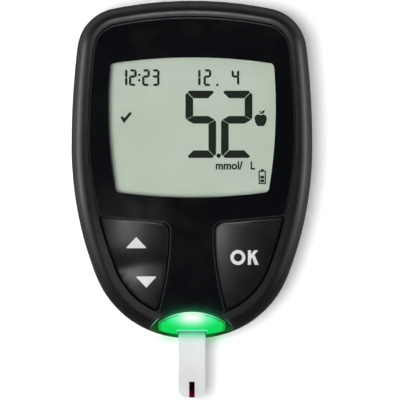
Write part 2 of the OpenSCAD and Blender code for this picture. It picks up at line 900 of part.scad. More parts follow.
module dome() {
    color("#d8dadd") difference() {
        cylinder(r1 = dome_r, r2 = dome_r * 0.6, h = dome_h);
        translate([0, 0, -0.1]) cylinder(r1 = dome_r - 0.1, r2 = dome_r * 0.6 - 0.15, h = dome_h);
    }
}

module up_dome() {
    translate([up_xy.x, up_xy.y, board_top]) dome();
}

module down_dome() {
    translate([down_xy.x, down_xy.y, board_top]) dome();
}

module ok_dome() {
    translate([ok_xy.x, ok_xy.y, board_top]) dome();
}

module plunger(xy, top_drop) {
    face_column(plunger_z, top_drop) translate(xy) circle(r = plunger_r);
}

module rocker_key() {
    beam_in = -key_spacing / 2 - key_gap - 0.9;
    beam_out = pivot_out_x + 0.9;
    color("#303032") {
        difference() {
            face_layer(key_sink, deck_low + bite) key_shape();
            translate([0, pivot_y, face_z(0, pivot_y, key_sink) + valley_r - valley_d]) rotate([0, 90, 0])
                cylinder(r = valley_r, h = body_w, center = true, $fn = big_fn);
        }
        // beam with a pin at each end
        block([beam_out, pivot_y - beam_w / 2, pivot_z - pin_r - 0.1],
              [beam_in, pivot_y + beam_w / 2, face_z(beam_out, pivot_y, deck_low)]);
        translate([pivot_out_x - clip_w - 0.3, pivot_y, pivot_z]) rotate([0, 90, 0])
            cylinder(r = pin_r, h = pivot_in_x + clip_w - pivot_out_x + clip_w + 0.6);
        plunger(up_xy, deck_low);
        plunger(down_xy, deck_low);
    }
}

module ok_key() {
    color("#303032") {
        mirror([1, 0, 0]) {
            face_layer(key_sink, deck_low + 0.4) key_shape();
            face_layer(deck_low + 0.1, deck_low + 1) key_shape(key_gap + key_flange);
        }
        plunger(ok_xy, deck_low + 0.5);
    }
}

// ---------------------------------------------------------------- batteries

// A coin cell: the can, and the smaller cap on the side that faces the board
module coin_cell() {
    cap_h = 0.4;
    color("#c9ccd1") rotate_extrude() polygon([
        [0, 0], [cell_d / 2 - 0.3, 0], [cell_d / 2, 0.3], [cell_d / 2, cell_t - cap_h],
        [cell_d / 2 - 0.6, cell_t - cap_h], [cell_d / 2 - 1.2, cell_t], [0, cell_t]]);
}

module left_cell() {
    translate([-cell_x, cell_y, cell_z]) coin_cell();
}

module right_cell() {
    translate([cell_x, cell_y, cell_z]) coin_cell();
}

// Leaf springs between the ceiling and the cells
module battery_springs() {
    low = cell_z + cell_t + 0.02;
    high = ceiling_z - 0.02;
    leaf_t = 0.2;
    color("#d4c9a0") for (s = [-1, 1])
        translate([s * cell_x - 1, 0, 0]) rotate([90, 0, 90]) linear_extrude(height = 2) polygon([
            [cell_y - 5.2, high], [cell_y - 5.2, high - leaf_t], [cell_y, low], [cell_y + 4, high - 0.3],
            [cell_y + 4, high - 0.3 + leaf_t], [cell_y, low + leaf_t], [cell_y - 4.8, high]]);
}

// Tabs that bear on the cans' outer sides
module battery_tabs() {
    color("#d4c9a0") for (s = [-1, 1]) {
        x = cell_x + cell_d / 2 + 0.05;
        mirror([s < 0 ? 1 : 0, 0, 0])
            block([x, cell_y - 2, cell_z + 0.4], [x + 0.3, cell_y + 2, ceiling_z]);
    }
}

// Shell of the cover: a plate that turns up into an end wall
module cover_shell() {
    intersection() {
        difference() {
            rear_body(cover_sink, cover_sink);
            rear_body(cover_top, cover_top, part_z + past);
        }
        block([-cover_half, cover_start, -past], [cover_half, body_l, cover_end_h]);
    }
}

module battery_cover() {
    groove_x = cover_half + cover_gap - tongue_w - tongue_play;
    grip_y = cover_start + 5;
    grip_pitch = 1.8;
    color("#242426") difference() {
        union() {
            cover_shell();
            // beads along the sides, above the grooves
            both_sides() block([cover_half - edge_bead, cover_start + 1.6, cover_top / 2],
                               [cover_half, tongue_end + 1, bead_top]);
            // tab behind the housing's back
            block([-tab_w / 2, cover_start - tab_l, tab_z], [tab_w / 2, cover_start + 1, cover_top]);
        }
        // grooves for the housing's tongues, open at the inner end
        both_sides() block([groove_x, cover_start - past, tongue_z[0] - tongue_play],
                           [cover_half + past, tongue_end + 0.3, tongue_z[1] + tongue_play]);
        // grip grooves
        for (i = [0:4]) block([-8, grip_y + i * grip_pitch, -past],
                              [8, grip_y + (i + 0.5) * grip_pitch, cover_sink + 0.4]);
    }
}

// ---------------------------------------------------------------- screws and label

module housing_screws() {
    color("#8e9196") screw_axes() {
        difference() {
            union() {
                translate([0, 0, head_z]) cylinder(r = head_r, h = head_h);
                translate([0, 0, head_z]) cylinder(r = screw_r, h = head_h + ceiling_t + screw_l - 0.5);
            }
            for (a = [0, 90]) rotate(a)
                translate([-head_r * 0.6, -0.2, head_z - past]) cube([head_r * 1.2, 0.4, past + 0.6]);
        }
    }
}

module label_plan(grow = 0) {
    w = 20;
    l = 17;
    translate([0, label_screw.y - 4.5]) offset(r = 1.5 + grow) square([w - 3, l - 3], center = true);
}

module label_recess() {
    slab(-past, past + 0.25) label_plan(0.15);
}

module back_label() {
    color("#d9dbdd") slab(0.05, 0.2) label_plan();
}

// ---------------------------------------------------------------- test strip

// Plan of the strip from its tip to the line y = end, with the sample channel cut out of it if open
module strip_plan(end, open = false) {
    difference() {
        union() {
            translate([-strip_w / 2, strip_tip_y + strip_tip_r])
                square([strip_w, end - strip_tip_y - strip_tip_r]);
            for (s = [-1, 1]) translate([s * (strip_w / 2 - strip_tip_r), strip_tip_y + strip_tip_r])
                circle(r = strip_tip_r);
            translate([-strip_w / 2 + strip_tip_r, strip_tip_y])
                square([strip_w - 2 * strip_tip_r, 2 * strip_tip_r]);
        }
        if (open) translate([-channel_w / 2, strip_tip_y - past]) square([channel_w, channel_l + past]);
    }
}

module strip_base() {
    color("#f1f2f4") slab(strip_z, strip_base_t) strip_plan(strip_end_y);
}

module strip_electrodes() {
    color("#c9a34a") slab(strip_z + strip_base_t, 0.04) for (i = [-2:2])
        translate([i * contact_pitch - 0.35, strip_cover_y + 0.05]) square([0.7, strip_bare_l - 0.4]);
}

module strip_spacer() {
    color("#e4e6ea") slab(strip_z + strip_base_t, strip_spacer_t) strip_plan(strip_cover_y, true);
}

module strip_lid() {
    lid_z = strip_z + strip_base_t + strip_spacer_t;
    color("#eef0f3") slab(lid_z, strip_lid_t) strip_plan(strip_cover_y, true);
}

module blood_sample() {
    color("#5a0d14") slab(strip_z + strip_base_t, strip_spacer_t + strip_lid_t)
        translate([-channel_w / 2 + 0.02, strip_tip_y]) square([channel_w - 0.04, channel_l - 0.02]);
}

// ---------------------------------------------------------------- nodes

front_housing();
rear_housing();
window_lens();
window_mask();
port_surround();
port_light_guide();
port_leds();
display_gasket();
display_films();
display_glass();
display_holder();
display_backlight();
display_connector();
circuit_board();
processor();
radio_module();
quartz_crystal();
chip_components();
buzzer();
strip_connector();
strip_contacts();
up_dome();
down_dome();
ok_dome();
rocker_key();
ok_key();
battery_springs();
battery_tabs();
left_cell();
right_cell();
battery_cover();
housing_screws();
back_label();
strip_base();
strip_electrodes();
strip_spacer();
strip_lid();
blood_sample();
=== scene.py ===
import math

import bmesh
import bpy
from mathutils import Matrix, Vector


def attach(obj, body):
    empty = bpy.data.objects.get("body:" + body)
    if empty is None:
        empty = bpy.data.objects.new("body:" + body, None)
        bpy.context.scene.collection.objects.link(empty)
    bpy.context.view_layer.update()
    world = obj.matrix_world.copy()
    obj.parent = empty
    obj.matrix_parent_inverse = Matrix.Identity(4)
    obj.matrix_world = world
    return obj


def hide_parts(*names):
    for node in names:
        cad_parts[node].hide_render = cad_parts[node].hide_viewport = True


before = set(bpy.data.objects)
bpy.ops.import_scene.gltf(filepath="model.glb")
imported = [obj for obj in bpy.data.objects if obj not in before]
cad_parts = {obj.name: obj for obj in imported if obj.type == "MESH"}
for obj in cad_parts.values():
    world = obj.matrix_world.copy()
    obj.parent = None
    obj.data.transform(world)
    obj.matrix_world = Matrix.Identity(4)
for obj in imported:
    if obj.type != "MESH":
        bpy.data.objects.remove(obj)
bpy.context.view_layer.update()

# ---------- sizes of the meter, in millimetres

MM = 0.001
PAST = 1.0                       # how far a cutting shape runs past what it cuts

NEAR, WELD, MELT, TINY = 1e-3, 1e-4, 2e-4, 1e-5      # distances under which points are one
SHARP = math.radians(40)         # the turn from which an edge is softened

HALF_W, TOP_Y, TIP_Y = 28.0, 39.25, -39.25
PART_Z, CROWN_H, CROWN_R, CROWN_Y = 9.0, 18.35, 500.0, 8.0
WAIST_Y = 5.4
TOP_R, CORNER_R, UPPER_R, LOWER_R, HAUNCH_R, TIP_R = 93.0, 10.3, 195.0, 82.0, 22.7, 30.0
RIM_W, BACK_W, FULLNESS = 3.3, 4.5, 2.3
RIM_FLAT, PART_EDGE = 0.35, 0.1  # the level band inside the rim, and the small edge where the halves meet
WALL = 2.0
FACE_INSET, FACE_SPREAD = 4.0, 1.0
SEAM = 0.15

LENS_SINK, LENS_LOW, DECK_DROP, DECK_LOW = 0.35, 1.55, 1.8, 3.0
LENS_EDGE, LENS_OUTER, LENS_INNER = 0.28, 0.55, 0.18      # the lens's sloped edge, and its facets' share of it
KEY_GAP, KEY_SINK, KEY_EDGE, ROCKER_T, OK_T = 0.3, 0.1, 0.3, 3.2, 3.4
KEY_CORNER, KEY_TIP = 1.8, 0.5   # radii of the key's corner beside the display and of its other corners
KEY_X, KEY_Y, KEY_BOW_Y, KEY_BOW_R, KEY_SLOPE = -5.35, -12.5, -14.0, 66.0, 5.1
PIVOT_Y, PIVOT_Z = -21.25, 12.6
POST_R, POST_LOW, POST_HIGH = 1.2, 9.7, 14.3
UP_POST, DOWN_POST, OK_POST = (-13.4, -14.65), (-10.9, -27.65), (-13.3, -21.85)
VALLEY, VALLEY_Y, VALLEY_W, VALLEY_TURN = 0.22, -22.2, 2.8, 0.6
CROWN_ACROSS, CROWN_ALONG = 0.0095, 0.003
UP_CROWN, DOWN_CROWN, OK_CROWN_X, OK_CROWN_Y = (-12.5, -17.0), (-10.0, -25.0), 11.2, -20.0

WINDOW_W, WINDOW_H, WINDOW_Y = 38.8, 32.4, 9.75
WINDOW_BOW, WINDOW_SIDE, WINDOW_SIDE_Y, WINDOW_CORNER = 125.0, 115.0, 14.35, 1.0
GLASS_X, GLASS_TOP, GLASS_LOW = 20.8, 27.35, -7.85
DISPLAY_Z, INK = 13.42, 0.04     # where the two plates of the display meet, and how thick its segments are

SCOOP_Y, SCOOP_Z, SCOOP_FACE_R, SCOOP_R = -46.8, 24.0, 13.9, 15.712
SURROUND_Y, SURROUND_R = -43.25, 11.5
GUIDE_END_X, GUIDE_END_Y, GUIDE_END_R = 2.85, -36.2, 5.0
NOTCH_HALF, NOTCH_Y = 3.3, -37.5     # how wide the strip's notch is and how far it runs into the port

STRIP_W, STRIP_TIP, STRIP_END, STRIP_Z = 6.3, -52.95, -25.95, 10.3
STRIP_ROUND, CHANNEL_HALF, CHANNEL_L, LID_SHORT = 2.0, 0.65, 3.7, 7.5


# ---------- the outline and the dome of the face

def meeting(c1, d1, c2, d2, side):
    """The point at distances d1 and d2 from two centres, on the left or right of their line"""
    span = c2 - c1
    d = span.length
    along = (d1 * d1 - d2 * d2 + d * d) / (2 * d)
    across = math.sqrt(d1 * d1 - along * along)
    u = span / d
    return c1 + along * u + side * across * Vector((-u.y, u.x))


def bearing(a, b):
    """The direction of b from a"""
    return math.atan2(b.y - a.y, b.x - a.x)


def outline_arcs():
    """The right half of the body's outline as tangent arcs, from the port end round to the display end"""
    top = Vector((0, TOP_Y - TOP_R))
    tip = Vector((0, TIP_Y + TIP_R))
    upper = Vector((HALF_W - UPPER_R, WAIST_Y))
    lower = Vector((HALF_W - LOWER_R, WAIST_Y))
    corner = meeting(upper, UPPER_R - CORNER_R, top, TOP_R - CORNER_R, 1)
    haunch = meeting(lower, LOWER_R - HAUNCH_R, tip, TIP_R - HAUNCH_R, -1)
    quarter = math.pi / 2
    return [(tip, TIP_R, -quarter, bearing(tip, haunch)),
            (haunch, HAUNCH_R, bearing(tip, haunch), bearing(lower, haunch)),
            (lower, LOWER_R, bearing(lower, haunch), 0),
            (upper, UPPER_R, 0, bearing(upper, corner)),
            (corner, CORNER_R, bearing(upper, corner), bearing(top, corner)),
            (top, TOP_R, bearing(top, corner), quarter)]


def key_share(y):
    """How much wider the rim is beside the keys than beside the display, from 0 to 1"""
    t = min(1, max(0, (WAIST_Y + 4 - y) / 29))
    return t * t * (3 - 2 * t)


def face_z(x, y, drop=0.0):
    """Height of the dome that the face lies on, or of the one that is drop below it"""
    return CROWN_H - CROWN_R + math.sqrt((CROWN_R - drop) ** 2 - x * x - (y - CROWN_Y) ** 2)


class Loft:
    """A solid lofted through rings of the body's outline, each moved in from it and set to a height"""

    def __init__(self, inset, height, spread=0.0, step=1.0):
        self.bm = bmesh.new()
        verts = self.bm.verts
        self.way = verts.layers.float_vector.new("way")
        self.spot = verts.layers.float_vector.new("spot")
        for centre, radius, start, end in outline_arcs():
            middle = Vector((centre.x, centre.y, 0))
            old = len(verts)
            first = verts.new(middle + radius * Vector((math.cos(start), math.sin(start), 0)))
            bmesh.ops.spin(self.bm, geom=[first], cent=middle, axis=(0, 0, 1), angle=end - start,
                           steps=max(3, math.ceil(radius * abs(end - start) / step)))
            verts.ensure_lookup_table()
            for v in verts[old:]:
                v[self.way] = (v.co - middle).normalized()
        bmesh.ops.remove_doubles(self.bm, verts=verts[:], dist=NEAR)
        bmesh.ops.mirror(self.bm, geom=verts[:] + self.bm.edges[:], matrix=Matrix(), merge_dist=NEAR, axis="X")
        for v in verts:
            v[self.spot] = v.co
            if v.co.x < -NEAR:
                way = v[self.way]
                v[self.way] = Vector((-abs(way.x), way.y, 0))
        self.ring = self.bm.edges[:]
        self.first = self.ring
        self.place(verts, inset, height, spread)

    def place(self, verts, inset, height, spread):
        for v in verts:
            spot, way = v[self.spot], v[self.way]
            at = spot - way * (inset + spread * key_share(spot.y))
            v.co = (at.x, at.y, height(at, spot - way * RIM_W) if callable(height) else height)

    def lengthen(self):
        """Extrudes the last ring and gives the new ring's vertices"""
        made = bmesh.ops.extrude_edge_only(self.bm, edges=self.ring)["geom"]
        verts = [g for g in made if isinstance(g, bmesh.types.BMVert)]
        new = set(verts)
        self.ring = [g for g in made if isinstance(g, bmesh.types.BMEdge) and new.issuperset(g.verts)]
        return verts

    def to(self, inset, height, spread=0.0):
        self.place(self.lengthen(), inset, height, spread)

    def gather(self, drop, steps=14):
        """Runs the last ring in towards the middle, along the dome or the one that is drop below it"""
        for k in range(steps):
            share = 1 - 1 / (steps - k + 0.25)
            for v in self.lengthen():
                v.co.x, v.co.y = v.co.x * share, CROWN_Y + (v.co.y - CROWN_Y) * share
                v.co.z = face_z(v.co.x, v.co.y, drop)

    def solid(self, drop=None):
        """The loft closed at both ends: the first one flat, the last one flat too or domed at that drop"""
        if drop is not None:
            self.gather(drop)
        for ring in (self.ring, self.first):
            bmesh.ops.contextual_create(self.bm, geom=ring)
        bmesh.ops.recalc_face_normals(self.bm, faces=self.bm.faces[:])
        return self.bm


def at_drop(drop):
    """A height for a ring that lies on the dome, or that far below it"""
    return lambda at, rim: face_z(at.x, at.y, drop)


def edge_in(a):
    """How far in the full, rounded edge has come at an angle, as a share of its width"""
    return 1 - max(0.0, math.cos(a)) ** (2 / FULLNESS)


def edge_up(a):
    """How high that edge has come, as a share of its height"""
    return math.sin(a) ** (2 / FULLNESS)


EDGE_ANGLES = [math.pi / 2 * k / 15 for k in range(1, 16)]      # where the rings of the rounded edge lie


def front_form():
    """All inside the front of the body: the rounded edge of the rim, closed by the dome of the face"""
    form = Loft(PART_EDGE, PART_Z)
    form.to(PART_EDGE * 0.3, PART_Z + PART_EDGE * 0.3)
    base = PART_Z + PART_EDGE
    for a in EDGE_ANGLES:
        form.to(RIM_W * edge_in(a),
                lambda at, rim, up=edge_up(a): base + (face_z(rim.x, rim.y) - PART_Z - PART_EDGE) * up)
    form.to(RIM_W + RIM_FLAT, at_drop(0), 0.1)
    form.to(FACE_INSET, at_drop(0), FACE_SPREAD)
    return form.solid(0)


def back_form(inset=0.0, low=0.0, top=PART_Z):
    """All inside the back of the body, moved in by inset and down to the level low"""
    if top > PART_Z:
        start = PART_Z
        form = Loft(inset, top)
        form.to(inset, start)
    else:
        start = PART_Z - PART_EDGE
        form = Loft(inset + PART_EDGE, PART_Z)
        form.to(inset + PART_EDGE * 0.3, PART_Z - PART_EDGE * 0.3)
    for a in EDGE_ANGLES:
        form.to(inset + BACK_W * edge_in(a), start + (low - start) * edge_up(a))
    return form.solid()


def outline_prism(inset, spread, low, high):
    """An upright prism of the outline between two levels"""
    form = Loft(inset, low, spread)
    form.to(inset, high, spread)
    return form.solid()


# ---------- simple forms and how they are joined

def block(low, high):
    """A box between two corners"""
    bm = bmesh.new()
    size = Vector(high) - Vector(low)
    place = Matrix.Translation((Vector(low) + Vector(high)) / 2) @ Matrix.Diagonal((*size, 1))
    bmesh.ops.create_cube(bm, size=1, matrix=place)
    return bm


def pair(low, high):
    """A box and its mirror image on the other side of the middle"""
    return [block(low, high), block((-high[0], *low[1:]), (-low[0], *high[1:]))]


def bar(length, radius, place, segments):
    """A round bar about the middle of its place, along the place's own Z"""
    bm = bmesh.new()
    bmesh.ops.create_cone(bm, cap_ends=True, cap_tris=False, segments=segments, radius1=radius, radius2=radius,
                          depth=length, matrix=place)
    return bm


def rod(x, y, low, high, radius, segments=64):
    """An upright round bar"""
    return bar(high - low, radius, Matrix.Translation((x, y, (low + high) / 2)), segments)


def axle(x0, x1, y, z, radius):
    """A round bar along X"""
    place = Matrix.Translation(((x0 + x1) / 2, y, z)) @ Matrix.Rotation(math.pi / 2, 4, "Y")
    return bar(x1 - x0, radius, place, 48)


def ball(radius):
    """A ball about the centre of the port's scoop"""
    bm = bmesh.new()
    bmesh.ops.create_uvsphere(bm, u_segments=96, v_segments=48, radius=radius,
                              matrix=Matrix.Translation((0, SCOOP_Y, SCOOP_Z)) @ Matrix.Rotation(math.pi / 2, 4, "X"))
    return bm


def plate(points, low, high):
    """An upright prism of a few corner points"""
    bm = bmesh.new()
    face = bm.faces.new([bm.verts.new((x, y, low)) for x, y in points])
    raised = bmesh.ops.extrude_face_region(bm, geom=[face])["geom"]
    bmesh.ops.translate(bm, vec=(0, 0, high - low), verts=[g for g in raised if isinstance(g, bmesh.types.BMVert)])
    bmesh.ops.recalc_face_normals(bm, faces=bm.faces[:])
    return bm


def as_mesh(bm, name="form"):
    mesh = bpy.data.meshes.new(name)
    bm.to_mesh(mesh)
    bm.free()
    return mesh


def put(name, data):
    """A new object in the scene"""
    item = bpy.data.objects.new(name, data)
    bpy.context.scene.collection.objects.link(item)
    return item


def shape_of(item):
    """An object's shape with its modifiers applied, as a new form"""
    shaped = item.evaluated_get(bpy.context.evaluated_depsgraph_get())
    bm = bmesh.new()
    bm.from_mesh(shaped.to_mesh())
    shaped.to_mesh_clear()
    return bm


def carve(base, tools, how="DIFFERENCE"):
    """The base with each tool cut away, joined on or kept in common, one after the other"""
    for tool in tools:
        body, other = put("form", as_mesh(base)), put("form", as_mesh(tool))
        step = body.modifiers.new("step", "BOOLEAN")
        step.operation, step.solver, step.object = how, "EXACT", other
        base = shape_of(body)
        bmesh.ops.remove_doubles(base, verts=base.verts[:], dist=WELD)
        bmesh.ops.dissolve_degenerate(base, edges=base.edges[:], dist=TINY)
        bmesh.ops.delete(base, geom=[e for e in base.edges if e.is_wire], context="EDGES")
        for item in (body, other):
            mesh = item.data
            bpy.data.objects.remove(item)
            bpy.data.meshes.remove(mesh)
    return base


def common(base, *tools):
    """What the base shares with every tool"""
    return carve(base, tools, "INTERSECT")


def joined(base, *tools):
    """The base and the tools as one solid"""
    return carve(base, tools, "UNION")


def gathered(*parts):
    """Separate solids in one bmesh"""
    whole = bmesh.new()
    for part in parts:
        mesh = as_mesh(part)
        whole.from_mesh(mesh)
        bpy.data.meshes.remove(mesh)
    return whole


def mirrored(bm):
    """The form on the other side of the middle"""
    bmesh.ops.scale(bm, vec=(-1, 1, 1), verts=bm.verts[:])
    bmesh.ops.reverse_faces(bm, faces=bm.faces[:])
    return bm


def cad_copy(name):
    """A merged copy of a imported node, in millimetres"""
    bm = bmesh.new()
    bm.from_mesh(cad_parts[name].data)
    bmesh.ops.scale(bm, vec=(1 / MM,) * 3, verts=bm.verts[:])
    bmesh.ops.remove_doubles(bm, verts=bm.verts[:], dist=MELT)
    bmesh.ops.dissolve_degenerate(bm, edges=bm.edges[:], dist=TINY)
    return bm


def upright(edge):
    a, b = (v.co for v in edge.verts)
    return abs(a.x - b.x) + abs(a.y - b.y) < WELD


def rounded(bm, edges, width, segments, **more):
    """The form with those edges bevelled round"""
    bmesh.ops.bevel(bm, geom=edges, offset=width, offset_type="OFFSET", affect="EDGES", segments=segments,
                    profile=0.5, material=-1, **more)
    return bm


def round_corners(bm, radius, sharp=25, segments=8, tries=6, room=1.05):
    """Rounds the upright corners of a prism, and widens the faces beside one where they lack the room"""
    sharp = math.radians(sharp)
    walls = [e for e in bm.edges if upright(e) and len(e.link_faces) == 2]
    places = [Vector(e.verts[0].co.xy) for e in walls if e.calc_face_angle_signed() > sharp]
    for place in places:
        for _ in range(tries):
            corner = next((e for e in bm.edges if upright(e) and len(e.link_faces) == 2
                           and (e.verts[0].co.xy - place).length < NEAR), None)
            if corner is None:
                break
            offset = radius * math.tan(corner.calc_face_angle() / 2)
            narrow = []
            for face in corner.link_faces:
                other = [e for e in face.edges if upright(e) and e != corner]
                if len(other) == 1 and (other[0].verts[0].co.xy - place).length < offset * room:
                    if other[0].calc_face_angle(0) < sharp:
                        narrow.append(other[0])
            if not narrow:
                rounded(bm, [corner], offset, segments, clamp_overlap=True)
                break
            bmesh.ops.dissolve_edges(bm, edges=narrow, use_verts=True)
    return bm


def soften(bm, level, width, segments=2):
    """Bevels the sharp edges that lie at one level"""
    edges = [e for e in bm.edges if len(e.link_faces) == 2 and e.calc_face_angle() > SHARP
             and all(abs(v.co.z - level) < NEAR for v in e.verts)]
    return rounded(bm, edges, width, segments, clamp_overlap=True)


def gridded(bm, step_x, step_y):
    """Cuts the faces along a grid, so that they can follow a curved surface"""
    for axis, step in ((0, step_x), (1, step_y)):
        places = [v.co[axis] for v in bm.verts]
        for k in range(math.ceil(min(places) / step), math.floor(max(places) / step) + 1):
            normal = Vector((0, 0, 0))
            normal[axis] = 1
            bmesh.ops.bisect_plane(bm, geom=bm.verts[:] + bm.edges[:] + bm.faces[:], dist=WELD,
                                   plane_co=normal * k * step, plane_no=normal)
    return bm


def draped(bm, change=None):
    """Bends a flat form over the dome of the face, with a further change of height where one is given"""
    for v in bm.verts:
        further = change(v.co) if change else 0
        v.co.z += face_z(v.co.x, v.co.y) - CROWN_H + further
    return bm


# ---------- finishes

class Wire:
    """An output socket that takes part in sums with numbers and other wires"""

    def __init__(self, finish, socket):
        self.finish, self.socket = finish, socket

    def sum(self, operation, *values):
        return self.finish.make("ShaderNodeMath", {"operation": operation}, dict(enumerate(values)))

    def operator(operation, swapped=False):
        return lambda self, other: self.sum(operation, *((other, self) if swapped else (self, other)))

    __add__ = __radd__ = operator("ADD")
    __mul__ = __rmul__ = operator("MULTIPLY")
    __sub__, __rsub__ = operator("SUBTRACT"), operator("SUBTRACT", True)
    __truediv__, __rtruediv__ = operator("DIVIDE"), operator("DIVIDE", True)
    __pow__ = operator("POWER")

    def sine(self):
        return self.sum("SINE", self)

    def fade(self):
        """1 where this is nothing, dying away as it grows"""
        return self.sum("EXPONENT", self * -1)

    def ramp(self, low, high, to_low=0.0, to_high=1.0, kind="SMOOTHSTEP"):
        return self.finish.make("ShaderNodeMapRange", {"interpolation_type": kind},
                                {0: self, 1: low, 2: high, 3: to_low, 4: to_high})


class Finish:
    """A material or the world, and the nodes in it"""

    def __init__(self, name, tree=None):
        if tree is None:
            self.material = bpy.data.materials.new(name)
            self.material.use_nodes = True
            tree = self.material.node_tree
        self.tree = tree
        tree.nodes.clear()

    def make(self, kind, settings=None, sockets=None, output=0):
        """A node of that kind, with its settings and its sockets' values or links; gives one of its outputs"""
        node = self.tree.nodes.new(kind)
        for name, value in (settings or {}).items():
            setattr(node, name, value)
        for name, value in (sockets or {}).items():
            if isinstance(value, Wire):
                self.tree.links.new(value.socket, node.inputs[name])
            elif isinstance(value, tuple) and len(value) == 3 and node.inputs[name].type == "RGBA":
                node.inputs[name].default_value = (*value, 1)
            else:
                node.inputs[name].default_value = value
        return Wire(self, node.outputs[output]) if len(node.outputs) else node

    def place(self):
        return self.make("ShaderNodeTexCoord", output="Object")

    def axes(self, names):
        """The wanted coordinates on the piece, in millimetres"""
        return [self.make("ShaderNodeSeparateXYZ", None, {0: self.place()}, output=name) / MM for name in names]

    def noise(self, size, detail=2.0, rough=0.5, stretch=(1, 1, 1)):
        """Noise with features of about that size in millimetres, stretched along an axis where asked"""
        where = self.place()
        if stretch != (1, 1, 1):
            where = self.make("ShaderNodeMapping", None, {"Vector": where, "Scale": stretch})
        return self.make("ShaderNodeTexNoise", None, {"Vector": where, "Scale": 1 / (size * MM),
                                                      "Detail": detail, "Roughness": rough})

    def uneven(self, size, low, high, detail=4):
        """A number that wanders between two values in patches of that size"""
        return self.noise(size, detail).ramp(0.3, 0.7, low, high)

    def mix(self, share, a, b, blend="MIX"):
        settings = {"data_type": "RGBA", "blend_type": blend}
        return self.make("ShaderNodeMix", settings, {0: share, 6: a, 7: b}, output=2)

    def shades(self, size, a, b):
        """Two close shades in soft patches of that size"""
        return self.mix(self.noise(size, 3).ramp(0.35, 0.65), a, b)

    def bump(self, height, depth):
        return self.make("ShaderNodeBump", None, {"Height": height, "Distance": depth * MM, "Strength": 1.0})

    def principled(self, **sockets):
        """The Principled shader with these sockets, named in small letters with lines for spaces"""
        named = {name.replace("_", " ").title().replace("Ior", "IOR"): value for name, value in sockets.items()}
        return self.make("ShaderNodeBsdfPrincipled", None, named)

    def end(self, shader):
        self.make("ShaderNodeOutputMaterial", None, {"Surface": shader})
        return self.material

    def surface(self, **sockets):
        return self.end(self.principled(**sockets))

    def satin(self, dull=0.0, matte_level=0.05, **sockets):
        """A textured surface that loses its sheen where it is seen edge on, and more of it where it is dull"""
        glossy = self.principled(**sockets)
        matte = self.principled(**{**sockets, "roughness": 1.0, "specular_ior_level": matte_level})
        facing = self.make("ShaderNodeLayerWeight", None, {"Blend": 0.5}, output="Facing")
        share = facing.ramp(0.4, 0.85, 0.0, 0.9)
        if dull:
            share = share + (facing.ramp(0.08, 0.4, 0.0, 0.96) - share) * dull
        return self.end(self.make("ShaderNodeMixShader", None, {0: share, 1: glossy, 2: matte}))


def plastic(name, low, high, rough=0.42, rough_change=0.08, grain=0.35, depth=0.01, patch=9.0, satin=False, **more):
    """Moulded plastic: two close shades in soft patches, an uneven sheen, and a fine grain"""
    f = Finish(name)
    make = f.satin if satin else f.surface
    return make(base_color=f.shades(patch, low, high),
                roughness=f.uneven(patch / 3, rough - rough_change / 2, rough + rough_change / 2),
                normal=f.bump(f.noise(grain, 2, 0.6), depth), **more)


def metal(name, low, high, rough=0.3, stretch=(1, 1, 1), size=0.6):
    """Metal with fine marks along one way, and duller patches"""
    f = Finish(name)
    marks = f.noise(size, 4, 0.65, stretch)
    return f.surface(base_color=f.shades(2.5, low, high), metallic=1.0,
                     roughness=marks.ramp(0.25, 0.75, rough - 0.08, rough + 0.12), normal=f.bump(marks, 0.004))


# ---------- putting pieces in the scene

def add_piece(name, bm, finishes, body="meter", stands_for=(), angle=30):
    """Makes a form given in millimetres a piece of the object, smooth except at its real edges"""
    bmesh.ops.remove_doubles(bm, verts=bm.verts[:], dist=MELT)
    bmesh.ops.recalc_face_normals(bm, faces=bm.faces[:])
    bmesh.ops.scale(bm, vec=(MM,) * 3, verts=bm.verts[:])
    for layer in list(bm.verts.layers.float_vector.values()):
        bm.verts.layers.float_vector.remove(layer)
    mesh = as_mesh(bm, name)
    for finish in finishes:
        mesh.materials.append(finish)
    mesh.shade_smooth()
    mesh.set_sharp_from_angle(angle=math.radians(angle))
    item = put(name, mesh)
    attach(item, body)
    if stands_for:
        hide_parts(*stands_for)


def dress(finish, *nodes):
    """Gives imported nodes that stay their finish"""
    for node in nodes:
        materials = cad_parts[node].data.materials
        materials.clear()
        materials.append(finish)


# ---------- the finishes of this meter

UNLIT = (0.0, 0.0, 0.0)


def rim_finish():
    """Satin black of the rim. Beside the lit port its edge carries a painted green highlight line, brighter on the
    left, in a faint painted green glow.
    """
    f = Finish("rim_black")
    x, y = f.axes("XY")
    out = (x ** 2 + (y - SURROUND_Y) ** 2) ** 0.5 - SURROUND_R
    ends = y.ramp(-37.0, -35.3) * y.ramp(-34.3, -34.9)
    # painted green highlight line on the rim's edge beside the lit port, and a faint painted green glow round it
    line = out.ramp(0.2, 0.28, 1.0, 0.0) * ends * x.ramp(-1, 1, 0.5, 0.16)
    painted_green_haze = (out / 0.6).fade() * 0.02
    return f.satin(base_color=f.shades(9, (0.006, 0.006, 0.0065), (0.009, 0.009, 0.0095)),
                   roughness=f.uneven(3, 0.35, 0.39), normal=f.bump(f.noise(0.3, 2, 0.6), 0.006),
                   specular_ior_level=0.1, emission_color=f.mix(line + painted_green_haze, UNLIT, (0.4, 1.0, 0.6)),
                   emission_strength=1.0, dull=y.ramp(-6, -32))


rim_black = rim_finish()
back_black = plastic("back_black", (0.012, 0.012, 0.0125), (0.018, 0.018, 0.0185), rough=0.52, grain=0.45,
                     depth=0.02, satin=True)
key_charcoal = plastic("key_charcoal", (0.004, 0.004, 0.0038), (0.006, 0.006, 0.0056), rough=0.31, rough_change=0.04,
                       grain=0.3, depth=0.005, specular_ior_level=0.13)


